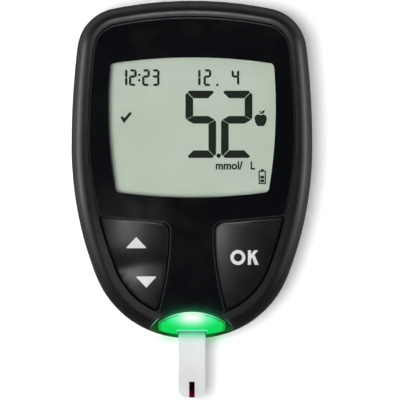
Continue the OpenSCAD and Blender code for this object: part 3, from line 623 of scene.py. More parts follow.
def painted_port_glow(f):
    """Painted green glow: emitted colour that stands for the lit port's light creeping into the parts round it. It
    dies away above the arc, and is deep below it.
    """
    x, y = f.axes("XY")
    side = (x ** 2) ** 0.5
    out = (x ** 2 + (y - SCOOP_Y) ** 2) ** 0.5 - SCOOP_FACE_R
    # painted green light spill above the arc, and a dim painted green glow below it
    painted_spill = (out.sum("MAXIMUM", out, 0.0) / 0.62).fade() * side.ramp(4.5, 8.5, 0.15, 0.045)
    above = f.mix(painted_spill, UNLIT, (0.1, 1.0, 0.42))
    below = f.mix(side.ramp(4.3, 6.6), (0.002, 0.155, 0.018), (0.001, 0.062, 0.007))
    return f.mix(y.ramp(-35.2, -37.2), above, below)


def gloss_finish():
    """Gloss black lens, faintly uneven, with a painted green glow just beside the port"""
    f = Finish("panel_gloss")
    return f.surface(base_color=f.shades(14, (0.0032, 0.0035, 0.005), (0.0042, 0.0046, 0.0062)),
                     roughness=f.uneven(5, 0.06, 0.1, 3), normal=f.bump(f.noise(1.5, 2), 0.0004),
                     # painted green glow of the port's light on the lens
                     emission_color=painted_port_glow(f), emission_strength=1.0)


panel_gloss = gloss_finish()
# the lens slope's lighter grey is a painted highlight along the lens edge
painted_lens_highlight = plastic("painted_lens_highlight", (0.02, 0.021, 0.024), (0.026, 0.027, 0.03), rough=0.4, grain=0.4, depth=0.003,
                    specular_ior_level=0.06)
dress(plastic("print_black", (0.003, 0.003, 0.004), (0.006, 0.006, 0.007), rough=0.6, grain=0.4), "window_mask")


def port_finish():
    """Black frame of the port, with a painted green glow of the port's light over it"""
    f = Finish("port_black")
    height, = f.axes("Z")
    return f.satin(base_color=f.mix(f.noise(3, 3), (0.001, 0.002, 0.001), (0.002, 0.004, 0.003)),
                   roughness=f.uneven(2, 0.3, 0.38, 3), normal=f.bump(f.noise(0.4, 2), 0.004),
                   # painted green glow of the port's light on the frame
                   specular_ior_level=0.02, emission_color=f.mix(height.ramp(9.2, 10.0), UNLIT, painted_port_glow(f)),
                   emission_strength=1.0, matte_level=0.01)


port_black = port_finish()
print_white = plastic("print_white", (0.72, 0.72, 0.72), (0.8, 0.8, 0.8), rough=0.5, grain=0.25, depth=0.006,
                      patch=3.0)
dress(plastic("soft_white", (0.7, 0.71, 0.7), (0.8, 0.8, 0.78), rough=0.45, grain=0.5),
      "display_holder", "display_backlight")
dress(plastic("ivory", (0.58, 0.52, 0.4), (0.68, 0.62, 0.5), rough=0.45, grain=0.5), "strip_connector")
dress(plastic("gasket_foam", (0.02, 0.02, 0.022), (0.05, 0.05, 0.055), rough=0.9, grain=0.25, depth=0.06),
      "display_gasket")
dress(plastic("pink_rubber", (0.42, 0.13, 0.17), (0.55, 0.2, 0.24), rough=0.6, grain=0.4, depth=0.02),
      "display_connector")
dress(plastic("chip_black", (0.012, 0.012, 0.014), (0.03, 0.03, 0.032), rough=0.55, grain=0.2, depth=0.012),
      "processor")
dress(plastic("buzzer_black", (0.01, 0.01, 0.01), (0.02, 0.02, 0.022), rough=0.35, grain=0.5), "buzzer")
dress(plastic("ceramic", (0.28, 0.17, 0.09), (0.5, 0.36, 0.22), rough=0.4, grain=0.3, patch=1.5), "chip_components")
label_paper = plastic("label_paper", (0.56, 0.57, 0.58), (0.66, 0.67, 0.68), rough=0.38, grain=0.35, depth=0.006)

dress(metal("gold", (0.75, 0.5, 0.18), (0.85, 0.62, 0.28), rough=0.28), "strip_contacts", "strip_electrodes")
dress(metal("tinned", (0.6, 0.61, 0.62), (0.72, 0.73, 0.74), rough=0.3), "radio_module", "quartz_crystal")
dress(metal("dome_steel", (0.58, 0.59, 0.6), (0.7, 0.71, 0.72), rough=0.25), "up_dome", "down_dome", "ok_dome")
dress(metal("spring_steel", (0.55, 0.52, 0.44), (0.66, 0.62, 0.5), rough=0.3, stretch=(1, 6, 1)),
      "battery_springs", "battery_tabs")
dress(metal("cell_steel", (0.55, 0.56, 0.57), (0.66, 0.67, 0.68), rough=0.28, stretch=(1, 8, 1), size=1.2),
      "left_cell", "right_cell")
dress(metal("screw_steel", (0.3, 0.31, 0.32), (0.42, 0.43, 0.44), rough=0.35), "housing_screws")


def board_finish():
    """Green solder mask with copper runs and small solder pads showing"""
    f = Finish("board_green")
    x, y = f.axes("XY")
    runs = f.make("ShaderNodeTexBrick", {"offset": 0.37, "squash": 1.6},
                  {"Vector": f.place(), "Scale": 1 / (3.2 * MM), "Mortar Size": 0.05, "Mortar Smooth": 0.4,
                   "Color1": UNLIT, "Color2": (0.25, 0.25, 0.25), "Mortar": (1.0, 1.0, 1.0)})
    dots = f.make("ShaderNodeTexVoronoi", {"feature": "F1"}, {"Vector": f.place(), "Scale": 1 / (2.1 * MM),
                                                             "Randomness": 0.35})
    pads = dots.ramp(0.13, 0.16, 1.0, 0.0)
    mask = f.mix(runs, (0.008, 0.075, 0.028), (0.02, 0.14, 0.055))
    shade = (x * 0.9).sine() * (y * 0.7).sine() * 0.5 + 0.5
    green = f.mix(shade * 0.4, mask, (0.012, 0.1, 0.045))
    return f.surface(base_color=f.mix(pads, green, (0.72, 0.68, 0.55)), roughness=pads.ramp(0, 1, 0.3, 0.42),
                     metallic=pads * 0.9, normal=f.bump(runs + pads, 0.02))


dress(board_finish(), "circuit_board")


def display_finish():
    """The pale grey-green field of the display"""
    f = Finish("display_field")
    field = f.mix(f.uneven(14, 0.0, 1.0, 3), (0.67, 0.785, 0.63), (0.71, 0.815, 0.685))
    return f.surface(base_color=f.mix(f.uneven(0.5, 0.0, 1.0, 2) * 0.06, field, (0.4, 0.42, 0.4)), roughness=0.8,
                     specular_ior_level=0.1)


display_field = display_finish()


def clear_finish(name, tint, alpha, rough):
    """A clear sheet: what is left of its own surface is a faint gloss"""
    f = Finish(name)
    return f.surface(base_color=f.mix(f.noise(9, 2), tint, tuple(c * 1.1 for c in tint)), roughness=rough,
                     alpha=f.uneven(6, alpha * 0.8, alpha * 1.2, 2))


window_clear = clear_finish("window_clear", (0.02, 0.02, 0.025), 0.02, 0.05)
glass_clear = clear_finish("glass_clear", (0.2, 0.24, 0.2), 0.012, 0.1)


def segment_finish():
    """The near black of a display's lit segments, with a little of the field showing through"""
    f = Finish("segment_black")
    return f.surface(base_color=f.mix(f.uneven(1.5, 0.0, 1.0, 2), (0.010, 0.016, 0.010), (0.015, 0.021, 0.014)),
                     roughness=0.8, specular_ior_level=0.05)


segment_black = segment_finish()


def glow_finish():
    """The lit guide, its light painted as emission: green, near white in the middle, with a painted highlight line
    along its arc and over the strip, a painted dark line inside the arc, and darker ends
    """
    f = Finish("lit_guide")
    x, y, z = f.axes("XYZ")
    side = (x ** 2) ** 0.5
    out = (x ** 2 + (y - SCOOP_Y) ** 2) ** 0.5
    deep = (x ** 2 + (y - SCOOP_Y) ** 2 + (z - SCOOP_Z) ** 2) ** 0.5
    end = ((side - GUIDE_END_X) ** 2 + (y - GUIDE_END_Y) ** 2) ** 0.5
    # painted glow: a hot near-white core with paler green round it
    hot = (((x / 2.75) ** 2) ** 1.3 + ((y + 34.3) / 1.36) ** 2).fade()
    pale = ((x / 3.2) ** 2 + ((y + 35.2) / 1.5) ** 2).fade()
    upper = y.ramp(-37.0, -34.6, kind="LINEAR") ** 2 * side.ramp(4.2, 6.3, 1.0, 0.2)
    # painted darker green beyond the guide's round ends
    tip = end.ramp(4.05, 4.7) * side.ramp(5.0, 7.0)
    # gap is a painted dark line just inside the arc; crown is a painted highlight line on the arc's edge
    gap = out.ramp(13.2, 13.38) * out.ramp(13.48, 13.6, 1.0, 0.0) * side.ramp(1.5, 4.0)
    crown = out.ramp(13.5, 13.6)
    # painted highlight line on the lip over the strip
    lip = y.ramp(-37.1, -37.25) * y.ramp(-37.7, -37.55) * side.ramp(3.4, 3.7, 1.0, 0.0)
    green = f.mix(upper, (0.002, 0.7, 0.1), (0.07, 0.95, 0.36))
    lit = f.mix(pale * 0.5, green, (0.1, 1.0, 0.6))
    lit = f.mix(hot, lit, (0.95, 1.0, 0.95))
    lit = f.mix(tip * 0.78, lit, (0.003, 0.3, 0.03))
    lit = f.mix(gap * 0.85, lit, f.mix(side.ramp(3.5, 6.5), (0.06, 0.45, 0.18), (0.001, 0.15, 0.02)))
    sides = f.mix(side.ramp(4.2, 7.0), (0.2, 0.8, 0.45), (0.04, 0.3, 0.11))
    lit = f.mix(crown, lit, f.mix(side.ramp(1.5, 4.2), (0.7, 1.0, 0.85), sides))
    lit = f.mix(lip, lit, (0.12, 1.0, 0.48))
    front = deep.ramp(SCOOP_R + 0.05, SCOOP_R + 0.15, 1.0, 0.0)
    return f.surface(base_color=f.mix(f.noise(0.8, 3), (0.002, 0.012, 0.005), (0.003, 0.016, 0.007)), roughness=0.35,
                     specular_ior_level=0.02, emission_color=f.mix(front, UNLIT, lit), emission_strength=1.0)


lit_guide = glow_finish()
dress(plastic("led_body", (0.6, 0.62, 0.45), (0.75, 0.76, 0.6), rough=0.3, grain=0.3), "port_leds")


def strip_finish(name, low, high):
    """White film with a trace of its fibres, with painted green light and painted shade where the lit port shines on
    it
    """
    f = Finish(name)
    y, = f.axes("Y")
    # painted green light and shade on the strip's end nearest the lit port
    near = (((y + 37.9) / 1.5) ** 2).fade()
    paper = f.mix(f.uneven(4, 0.0, 1.0, 3), low, high)
    tint = f.mix(y.ramp(-38.5, -37.7), (0.0, 0.63, 0.33), (0.0, 0.36, 0.12))
    return f.surface(base_color=f.mix(near, paper, tint), roughness=0.45,
                     normal=f.bump(f.noise(0.35, 3, 0.6, (1, 0.3, 1)), 0.004))


strip_white = strip_finish("strip_white", (0.81, 0.81, 0.82), (0.85, 0.85, 0.86))
strip_film = strip_finish("strip_film", (0.81, 0.81, 0.82), (0.86, 0.86, 0.87))
dress(strip_film, "strip_spacer")


def blood_finish():
    """Blood drawn into the channel: red at its mouth, near black further in"""
    f = Finish("blood_dark")
    y, = f.axes("Y")
    tint = f.mix(y.ramp(-52.9, -50.8), (0.13, 0.002, 0.006), (0.002, 0.0005, 0.0005))
    return f.surface(base_color=f.mix(f.noise(0.6, 2) * 0.15, tint, (0.03, 0.0, 0.001)), roughness=0.3,
                     specular_ior_level=0.015)


dress(blood_finish(), "blood_sample")

# ---------- housings

def port_rod(low, high, grow):
    """The round end of the port, wider by grow"""
    return rod(0, SURROUND_Y, low, high, SURROUND_R + grow, segments=160)


def key_zone(grow, low, high):
    """The corner of the face that the left key takes, running on past the rim"""
    bow = rod(KEY_X - KEY_BOW_R, KEY_BOW_Y, low, high, KEY_BOW_R + grow, segments=360)
    below = block((-90, -90, low - PAST), (30, grow, high + PAST))
    turn = Matrix.Translation((KEY_X, KEY_Y, 0)) @ Matrix.Rotation(-math.radians(KEY_SLOPE), 4, "Z")
    bmesh.ops.transform(below, matrix=turn, verts=below.verts[:])
    zone = common(bow, below)
    side = block((-60, -75, low - PAST), (30, 30, high + PAST))
    return round_corners(common(zone, side), KEY_CORNER + grow, 45)


def key_prism(grow, low, high):
    """The left key's plan between two levels, wider by grow"""
    zone = key_zone(grow, low, high)
    inside = outline_prism(FACE_INSET - grow, FACE_SPREAD, low - PAST, high + PAST)
    port = port_rod(low - 2 * PAST, high + 2 * PAST, 2 * KEY_GAP - grow)
    return round_corners(carve(common(zone, inside), [port]), KEY_TIP + grow)


def window_prism(grow, low, high):
    """The display window's plan between two levels: four bowed sides with small round corners"""
    half_w, half_h = WINDOW_W / 2 + grow, WINDOW_H / 2 + grow
    forms = [rod(0, WINDOW_Y + s * (half_h - WINDOW_BOW), low, high, WINDOW_BOW, segments=720) for s in (-1, 1)]
    forms += [rod(s * (half_w - WINDOW_SIDE), WINDOW_SIDE_Y, low - PAST, high + PAST, WINDOW_SIDE, segments=720)
              for s in (-1, 1)]
    near = block((-30, WINDOW_Y - 25, low - 2 * PAST), (30, WINDOW_Y + 25, high + 2 * PAST))
    return round_corners(common(near, *forms), WINDOW_CORNER + grow)


SEAT_MOUTH = ((0.17, -0.3), (0.16, 0.015), (0.1, 0.05), (0.04, 0.11), (0, 0.22))      # out, and below the face


def lens_seat():
    """The hollow that the lens lies in, with a small radius where it opens"""
    edge = FACE_INSET - SEAM
    form = Loft(edge - SEAT_MOUTH[0][0], CROWN_H + 2, FACE_SPREAD)
    for out, drop in SEAT_MOUTH:
        form.to(edge - out, at_drop(drop), FACE_SPREAD)
    form.to(edge, at_drop(DECK_DROP), FACE_SPREAD)
    return form.solid(DECK_DROP)


def front_core(inset, low, drop):
    """The room inside the front housing, up to a depth below the face"""
    form = Loft(inset, low)
    form.to(inset, at_drop(drop))
    return form.solid(drop)


def openings(grow, low=PART_Z):
    """What the window, the port and the two keys take out of the front housing"""
    high = CROWN_H + PAST
    return [window_prism(0.8 + grow, low, high),
            port_rod(low - 2, high, 0.08 + grow),
            key_prism(KEY_GAP + grow, low, high), mirrored(key_prism(KEY_GAP + grow, low, high))]


def make_front():
    """The front housing: a clean outer shell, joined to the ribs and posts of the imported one.
    Insets and drops differ by a tenth or so, so that no two surfaces of the forms lie on each other."""
    shell = carve(front_form(), [front_core(WALL - 0.12, PART_Z - PAST, DECK_LOW - 0.1),
                                 outline_prism(WALL / 2 - 0.05, 0, PART_Z - PAST, PART_Z + 0.95),
                                 lens_seat(), *openings(0)])
    inside = common(cad_copy("front_housing"), front_core(WALL - 0.25, PART_Z - 2 * PAST, DECK_LOW - 0.2))
    inside = carve(inside, openings(0.15, PART_Z - 3 * PAST))
    add_piece("front_shell", joined(shell, inside), [rim_black], stands_for=["front_housing"])


make_front()


def rounded_block(low, high, radius):
    """A block with its upright edges rounded"""
    bm = block(low, high)
    return rounded(bm, [e for e in bm.edges if upright(e)], radius, 6)


COVER_HALF, COVER_GAP, COVER_Y, COVER_END_Z = 22.6, 0.15, 1.2, 7.0
COVER_WALL, TONGUE_END, CATCH_HALF, TAB_HALF = 1.5, 22.0, 4.3, 4.0
GRIPS, GRIP_HALF, GRIP_STEP, GRIP_W, GRIP_DEPTH = 5, 8, 1.8, 0.9, 0.5
LABEL_LOW, LABEL_HIGH, LABEL_ROUND, LABEL_GAP, LABEL_T = (-10, -27.45), (10, -10.45), 1.5, 0.15, 0.2
SCREW_Y, SCREW_HEAD_R = -14.45, 1.85


def make_back():
    """The rear housing: a clean outer shell with its lip and rails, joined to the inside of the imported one"""
    side = COVER_HALF + COVER_GAP
    recess = [v - LABEL_GAP for v in LABEL_LOW], [v + LABEL_GAP for v in LABEL_HIGH]
    tools = [back_form(2.12, 1.92, PART_Z + PAST),
             block((-side, COVER_Y - COVER_GAP, -PAST), (side, 60, COVER_END_Z + COVER_GAP)),
             rounded_block((*recess[0], -PAST), (*recess[1], 0.25), LABEL_ROUND + LABEL_GAP),
             rod(0, SCREW_Y, -2 * PAST, 4, SCREW_HEAD_R),
             block((-CATCH_HALF, -1.7, 0.7), (CATCH_HALF, 2.2, 1.65)),
             block((-CATCH_HALF, -1.7, 0.71), (CATCH_HALF, -0.6, 2.8))]
    shell = carve(back_form(), tools)
    lip = carve(outline_prism(1.05, 0, 8.4, 9.9), [outline_prism(1.93, 0, 8, 11), port_rod(8.6, 12, SEAM)])
    tongues = pair((side - 0.6, COVER_Y + 2, 0.9), (side + 0.4, TONGUE_END, 1.5))
    inside = common(cad_copy("rear_housing"), back_form(2.05, 1.85, PART_Z + 2 * PAST))
    whole = joined(shell, lip, *tongues, inside)
    add_piece("rear_shell", whole, [back_black], stands_for=["rear_housing"])


def make_cover():
    """The battery cover, with a bead and a groove along each side, a tab at its end and a ribbed grip"""
    shell = common(back_form(0.1, 0.1), block((-COVER_HALF, COVER_Y, -PAST), (COVER_HALF, 60, COVER_END_Z)))
    shell = carve(shell, [back_form(COVER_WALL, COVER_WALL, PART_Z + PAST)])
    beads = pair((COVER_HALF - 0.65, COVER_Y + 1.6, 0.75), (COVER_HALF, TONGUE_END + 1, 2.4))
    tab = block((-TAB_HALF, COVER_Y - 2.6, 0.8), (TAB_HALF, COVER_Y + 1, 1.45))
    grooves = pair((COVER_HALF - 0.55, COVER_Y - PAST, 0.8), (COVER_HALF + PAST, TONGUE_END + 0.3, 1.6))
    grip = [rounded_block((-GRIP_HALF, y, -PAST), (GRIP_HALF, y + GRIP_W, GRIP_DEPTH), GRIP_W / 2 - 0.01)
            for y in (COVER_Y + 5 + GRIP_STEP * i for i in range(GRIPS))]
    whole = carve(joined(shell, *beads, tab), grooves + grip)
    add_piece("cover_plate", whole, [back_black], "cover", ["battery_cover"])


def make_label():
    """The blank label in its shallow recess"""
    bm = rounded_block((*LABEL_LOW, 0.05), (*LABEL_HIGH, 0.05 + LABEL_T), LABEL_ROUND)
    soften(bm, 0.05, 0.04)
    add_piece("plain_label", bm, [label_paper], stands_for=["back_label"])


make_back()
make_cover()
make_label()

# ---------- lens and keys


def flat_lens(low, high):
    """The lens before it is bent: round the keys and the port, with a low slope in two facets all round"""
    form = outline_prism(FACE_INSET, FACE_SPREAD, low, high)
    ways = [low - PAST, high + PAST]
    zones = [key_zone(KEY_GAP, *ways), mirrored(key_zone(KEY_GAP, *ways)), port_rod(*ways, SEAM)]
    form = soften(carve(form, zones), high, LENS_EDGE)
    for v in form.verts:
        if abs(v.co.z - high + LENS_EDGE) < NEAR:
            v.co.z = high - LENS_EDGE * LENS_OUTER
        elif high - LENS_EDGE < v.co.z < high - 0.01:
            v.co.z = high - LENS_EDGE * LENS_INNER
    return form


def beside_port(at):
    """Whether a point of the lens is on the slope that faces the port"""
    return math.hypot(at.x, at.y - SURROUND_Y) < SURROUND_R + SEAM + LENS_EDGE + 0.05


def walls(bm):
    """The upright faces of a form"""
    return [f for f in bm.faces if abs(f.normal.z) < 0.5]


def make_lens():
    """The lens: gloss black all over, and clear where the window is. Its slope is duller and lighter grey, a painted
    highlight, except beside the port.
    """
    low, high = CROWN_H - LENS_LOW, CROWN_H - LENS_SINK
    window = window_prism(0, low - PAST, high + PAST)
    clear = common(flat_lens(low, high), window.copy())
    black = carve(flat_lens(low, high), [window])
    bmesh.ops.delete(clear, geom=walls(clear), context="FACES")
    for face in clear.faces:
        face.material_index = 1
    inner = [f for f in walls(black) if abs(f.calc_center_median().x) < GLASS_X
             and GLASS_LOW < f.calc_center_median().y < GLASS_TOP]
    bmesh.ops.delete(black, geom=inner, context="FACES")
    for face in black.faces:
        if 0.5 < face.normal.z < 0.99 and not beside_port(face.calc_center_median()):
            face.material_index = 2
    whole = gridded(gathered(black, clear), 2.5, 2.5)
    bmesh.ops.remove_doubles(whole, verts=whole.verts[:], dist=NEAR)
    bmesh.ops.holes_fill(whole, edges=[e for e in whole.edges if e.is_boundary], sides=4)
    add_piece("face_lens", draped(whole), [panel_gloss, window_clear, painted_lens_highlight],
              stands_for=["window_lens"], angle=10)


def crowned(at, x, y):
    """A gentle crown on a key's top about the point x, y"""
    return -CROWN_ACROSS * (at.x - x) ** 2 - CROWN_ALONG * (at.y - y) ** 2 if at.z > CROWN_H - 1 else 0


def rocker_top(at):
    """The two crowned ends of the rocker with the dip between them, where a finger rests"""
    if at.z <= CROWN_H - 1:
        return 0
    share = 1 / (1 + math.exp((at.y - VALLEY_Y) / VALLEY_TURN))
    ends = (1 - share) * crowned(at, *UP_CROWN) + share * crowned(at, *DOWN_CROWN)
    return ends - VALLEY * math.exp(-((at.y - VALLEY_Y) / VALLEY_W) ** 2)


def key_slab(depth):
    """A key's flat top plate, that deep, with its upper edge rounded"""
    high = CROWN_H - KEY_SINK
    return soften(key_prism(0, CROWN_H - depth, high), high, KEY_EDGE, segments=4)


def post(place, high=POST_HIGH):
    """A round post that presses a dome on the board"""
    return rod(*place, POST_LOW, high, POST_R, segments=32)


def make_rocker():
    """The up and down key: its top, the skirt and core below, the beam, the pins it turns on, and two posts"""
    top = draped(gridded(key_slab(ROCKER_T), 1.2, 0.6), rocker_top)
    skirt = draped(gridded(key_prism(0.5, CROWN_H - 4.4, CROWN_H - 3.7), 1.2, 1.2))
    core = key_prism(-0.4, CROWN_H - 4.9, CROWN_H - 2.5)
    beam = block((-18.2, PIVOT_Y - 1.2, PIVOT_Z - 1), (-6.55, PIVOT_Y + 1.2, 14.4))
    pins = axle(-20.8, -2.55, PIVOT_Y, PIVOT_Z, 0.9)
    whole = joined(top, core, skirt, beam, pins, post(UP_POST), post(DOWN_POST))
    add_piece("rocker_cap", whole, [key_charcoal], "rocker", ["rocker_key"], angle=35)


def make_ok():
    """The OK key: its top, the flange that holds it in, and its post, made on the left and mirrored"""
    flange = key_prism(1.1, CROWN_H - 4, CROWN_H - 3.1)
    top = draped(gridded(joined(key_slab(OK_T), flange), 1.2, 1.2), lambda at: crowned(at, -OK_CROWN_X, OK_CROWN_Y))
    whole = mirrored(joined(top, post(OK_POST, 14)))
    add_piece("ok_cap", whole, [key_charcoal], "ok_button", ["ok_key"], angle=35)


UP_ARROW = [(-15.3, -18.2), (-10.45, -18.2), (-12.88, -15.6)]
DOWN_ARROW = [(-13.0, -24.75), (-10.55, -27.35), (-8.12, -24.75)]
O_PLACE, O_OUT, O_IN = (10.64, -20.35), 1.74, 0.95
K_STEM = (12.95, -22.05), (13.68, -18.68)
K_ARM = [(13.5, -20.93), (15.32, -18.68), (14.38, -18.68), (13.5, -19.88)]
K_LEG = [(13.95, -20.42), (14.5, -19.76), (15.46, -22.05), (14.52, -22.05)]


def key_mark(name, forms, body, change):
    """A printed mark that follows the top of a key"""
    add_piece(name, draped(gridded(gathered(*forms), 0.8, 0.8), change), [print_white], body)


def make_marks():
    """The two arrows and the letters, printed on the keys"""
    low, high = CROWN_H - KEY_SINK - 0.15, CROWN_H - KEY_SINK + 0.02
    for name, corners in (("up_mark", UP_ARROW), ("down_mark", DOWN_ARROW)):
        key_mark(name, [round_corners(plate(corners, low, high), 0.15)], "rocker", rocker_top)
    ring = carve(rod(*O_PLACE, low, high, O_OUT), [rod(*O_PLACE, low - PAST, high + PAST, O_IN)])
    stem = block((*K_STEM[0], low), (*K_STEM[1], high))
    letter = joined(stem, plate(K_ARM, low, high), plate(K_LEG, low, high))
    key_mark("ok_mark", [ring, letter], "ok_button", lambda at: crowned(at, OK_CROWN_X, OK_CROWN_Y))


make_lens()
make_rocker()
make_ok()
make_marks()

# ---------- strip port


def guide_column(shrink, low):
    """The light guide's plan as a column, between the port end, the scoop's arc and two round ends"""
    high = CROWN_H + PAST
    half = GUIDE_END_R - 0.2
    ends = [rod(s * GUIDE_END_X, GUIDE_END_Y, low - PAST, high + PAST, GUIDE_END_R - shrink, segments=96)
            for s in (-1, 1)]
    across = block((-GUIDE_END_X, GUIDE_END_Y - half, low - 2 * PAST),
                   (GUIDE_END_X, GUIDE_END_Y + half, high + 2 * PAST))
    return common(outline_prism(0.8 + shrink, 0, low, high),
                  rod(0, SCOOP_Y, low - PAST, high + PAST, SCOOP_FACE_R - shrink, segments=200),
                  joined(*ends, across))


def strip_way(low):
    """The strip's way in, wider at its mouth"""
    return plate([(-4.8, TIP_Y - 1), (4.8, TIP_Y - 1), (3.7, TIP_Y + 1.9), (3.7, TIP_Y + 12), (-3.7, TIP_Y + 12),
                  (-3.7, TIP_Y + 1.9)], low, 11.1)


def make_port():
    """The frame of the port, cut by the scoop, the guide and the strip's way, and the light guide in it"""
    form = common(front_form(), port_rod(PART_Z - PAST, CROWN_H + PAST, 0))
    arch = common(outline_prism(3, 0, PART_Z - PAST, 12.2), block((-8.2, TIP_Y, 0), (8.2, 0, 20)))
    notch = block((-NOTCH_HALF, TIP_Y - PAST, 10.4), (NOTCH_HALF, NOTCH_Y, 14))
    form = carve(form, [ball(SCOOP_R), guide_column(0, PART_Z - PAST), strip_way(10), arch, notch.copy()])
    add_piece("port_frame", form, [port_black], stands_for=["port_surround"])
    guide = common(guide_column(0.05, PART_Z + 0.1), ball(SCOOP_R + 1.2))
    guide = carve(guide, [ball(SCOOP_R), strip_way(8), notch])
    add_piece("port_guide", guide, [lit_guide], stands_for=["port_light_guide"])


make_port()

# ---------- display


BARS = {"2": "abged", "3": "abgcd", "4": "fgbc", "5": "afgcd"}
BIG, SMALL = (1.76, 0.09, 0.45), (0.54, 0.03, 0.7)      # a digit's stroke, the gaps in it, and its corners
DIGITS = [("5", (-1.5, 2.7), (7.1, 15.6), BIG), ("2", (6.75, 2.7), (7.25, 15.6), BIG)]
DIGITS += [(number, (x, 19.4), (1.78, 3.85), SMALL)
           for number, x in (("2", -14.6), ("2", -11.55), ("3", -9.3), ("2", 2.7), ("4", 9.2))]
ONE_X, ONE_Y, ONE_W, ONE_H = (-15.5, 1.45), (19.62, 21.42), 0.55, 1.66
POINT, SMALL_POINTS = (6.2, 3.23), ((-12.2, 21.95), (-12.2, 20.7), (5.9, 19.62))
TICK = [(-16.58, 12.08), (-16.12, 12.46), (-15.72, 11.92), (-14.3, 13.44), (-13.95, 12.98), (-15.77, 10.72)]
FRUIT = [(14.5, 11.83), (14.63, 12.41), (15.05, 12.76), (15.6, 12.78), (15.94, 12.57), (16.3, 12.78), (16.85, 12.76),
         (17.25, 12.41), (17.38, 11.83), (17.25, 11.1), (16.9, 10.36), (16.45, 10.0), (15.94, 10.12), (15.43, 10.0),
         (15.0, 10.36), (14.64, 11.1)]
LEAF = [(16.08, 12.95), (16.2, 13.5), (16.88, 13.86), (16.82, 13.3), (16.4, 12.93)]
STALK = [(15.55, 13.58), (15.8, 13.66), (16.12, 12.93), (15.84, 12.86)]
UNIT, UNIT_Y, UNIT_H = (("mmol/", 5.45, 0.92), ("L", 13.5, 0.85)), 0.08, 2.62


def digit(shown, low, size, stroke, gap, corner):
    """The plans of the bars of a seven-bar digit. Low is its lower left corner."""
    w, h = size
    m = h * 0.567
    t, c = stroke, corner * stroke
    crown = [(c / 2 + gap, h - c / 2), (c + gap, h), (w - c - gap, h), (w - c / 2 - gap, h - c / 2),
             (w - t - gap, h - t), (t + gap, h - t)]
    wing = [(0, h - c - gap), (c / 2, h - c / 2 - gap), (t, h - t - gap), (t, m + t / 2 + gap / 2),
            (t / 8, m + gap), (0, m + t / 3)]
    mid = [(t / 8 + gap / 2, m), (t + gap / 2, m + t / 2), (w - t - gap / 2, m + t / 2), (w - t / 8 - gap / 2, m),
           (w - t - gap / 2, m - t / 2), (t + gap / 2, m - t / 2)]
    lower = [(0, c + gap), (c / 2, c / 2 + gap), (t, t + gap), (t, m - t / 2 - gap / 2), (t / 8, m - gap),
             (0, m - t / 3)]
    bars = {"a": crown, "f": wing, "b": [(w - x, y) for x, y in wing], "g": mid, "e": lower,
            "c": [(w - x, y) for x, y in lower], "d": [(x, h - y) for x, y in crown]}
    return [[(low[0] + x, low[1] + y) for x, y in bars[bar]] for bar in shown]


def words(text, x, y, height, level, squeeze, weight=0.029):
    """Plain letters as a thin solid, with their baseline at y"""
    curve = bpy.data.curves.new("words", "FONT")
    curve.body, curve.size, curve.extrude, curve.offset = text, 1.0, INK / 2 / height, weight
    item = put("words", curve)
    bm = shape_of(item)
    bpy.data.objects.remove(item)
    place = Matrix.Translation((x, y, level + INK / 2)) @ Matrix.Diagonal((height * squeeze, height, height, 1))
    bmesh.ops.transform(bm, matrix=place, verts=bm.verts[:])
    return bm


def battery_sign(low, high):
    """A small upright battery, with its cap and two bars of charge"""
    case = carve(block((15.45, -3.35, low), (17.15, -0.25, high)),
                 [block((15.72, -3.08, low - 1), (16.88, -0.52, low + 1))])
    charge = [block((15.87, -2.93 + 0.85 * k, low), (16.73, -2.28 + 0.85 * k, high)) for k in range(2)]
    return [case, block((15.95, -0.25, low), (16.65, 0.1, high)), *charge]


def sheet(out, low, high, under, over, corner):
    """A thin rounded sheet of the display, so far out to each side, with its levels from the display's middle"""
    return rounded_block((-out, low, DISPLAY_Z + under), (out, high, DISPLAY_Z + over), corner)


def make_display():
    """The films, the two glasses, and the segments that show between them"""
    out, low, high = GLASS_X, GLASS_LOW, GLASS_TOP
    films = gathered(sheet(out - 0.3, low + 2.9, high - 0.3, -0.85, -0.7, 0.4),
                     sheet(out - 0.3, low + 0.3, high - 0.3, 0.01, 0.04, 0.4))
    add_piece("display_reflector", films, [display_field], stands_for=["display_films"])
    glasses = gathered(sheet(out, low + 2.6, high, -0.68, -0.02, 0.3), sheet(out, low, high, 0.24, 0.85, 0.3))
    add_piece("display_plates", glasses, [glass_clear], stands_for=["display_glass"])
    level = DISPLAY_Z + 0.12
    ink = level, level + INK
    plans = [bar for number, place, size, look in DIGITS for bar in digit(BARS[number], place, size, *look)]
    plans += [[(x, y), (x + ONE_W, y), (x + ONE_W, y + ONE_H), (x, y + ONE_H)] for x in ONE_X for y in ONE_Y]
    dots = [rod(*POINT, *ink, 0.52, segments=24)] + [rod(*place, *ink, 0.29, segments=16) for place in SMALL_POINTS]
    signs = [plate(sign, *ink) for sign in (TICK, FRUIT, LEAF, STALK)]
    unit = [words(text, x, UNIT_Y, UNIT_H, level, squeeze) for text, x, squeeze in UNIT]
    whole = gathered(*[plate(plan, *ink) for plan in plans], *dots, *signs, *battery_sign(*ink), *unit)
    add_piece("display_segments", whole, [segment_black])


make_display()

# ---------- test strip


def strip_form(low, high, end, channel=False):
    """One film of the strip, round at its tip, with the open channel for the sample where asked"""
    bm = block((-STRIP_W / 2, STRIP_TIP, low), (STRIP_W / 2, end, high))
    rounded(bm, [e for e in bm.edges if upright(e) and e.verts[0].co.y < STRIP_TIP + 1], STRIP_ROUND, 10)
    if channel:
        way = block((-CHANNEL_HALF, STRIP_TIP - 1, low - 1), (CHANNEL_HALF, STRIP_TIP + CHANNEL_L, high + 1))
        bm = carve(bm, [way])
    return soften(bm, high, 0.03, segments=1)


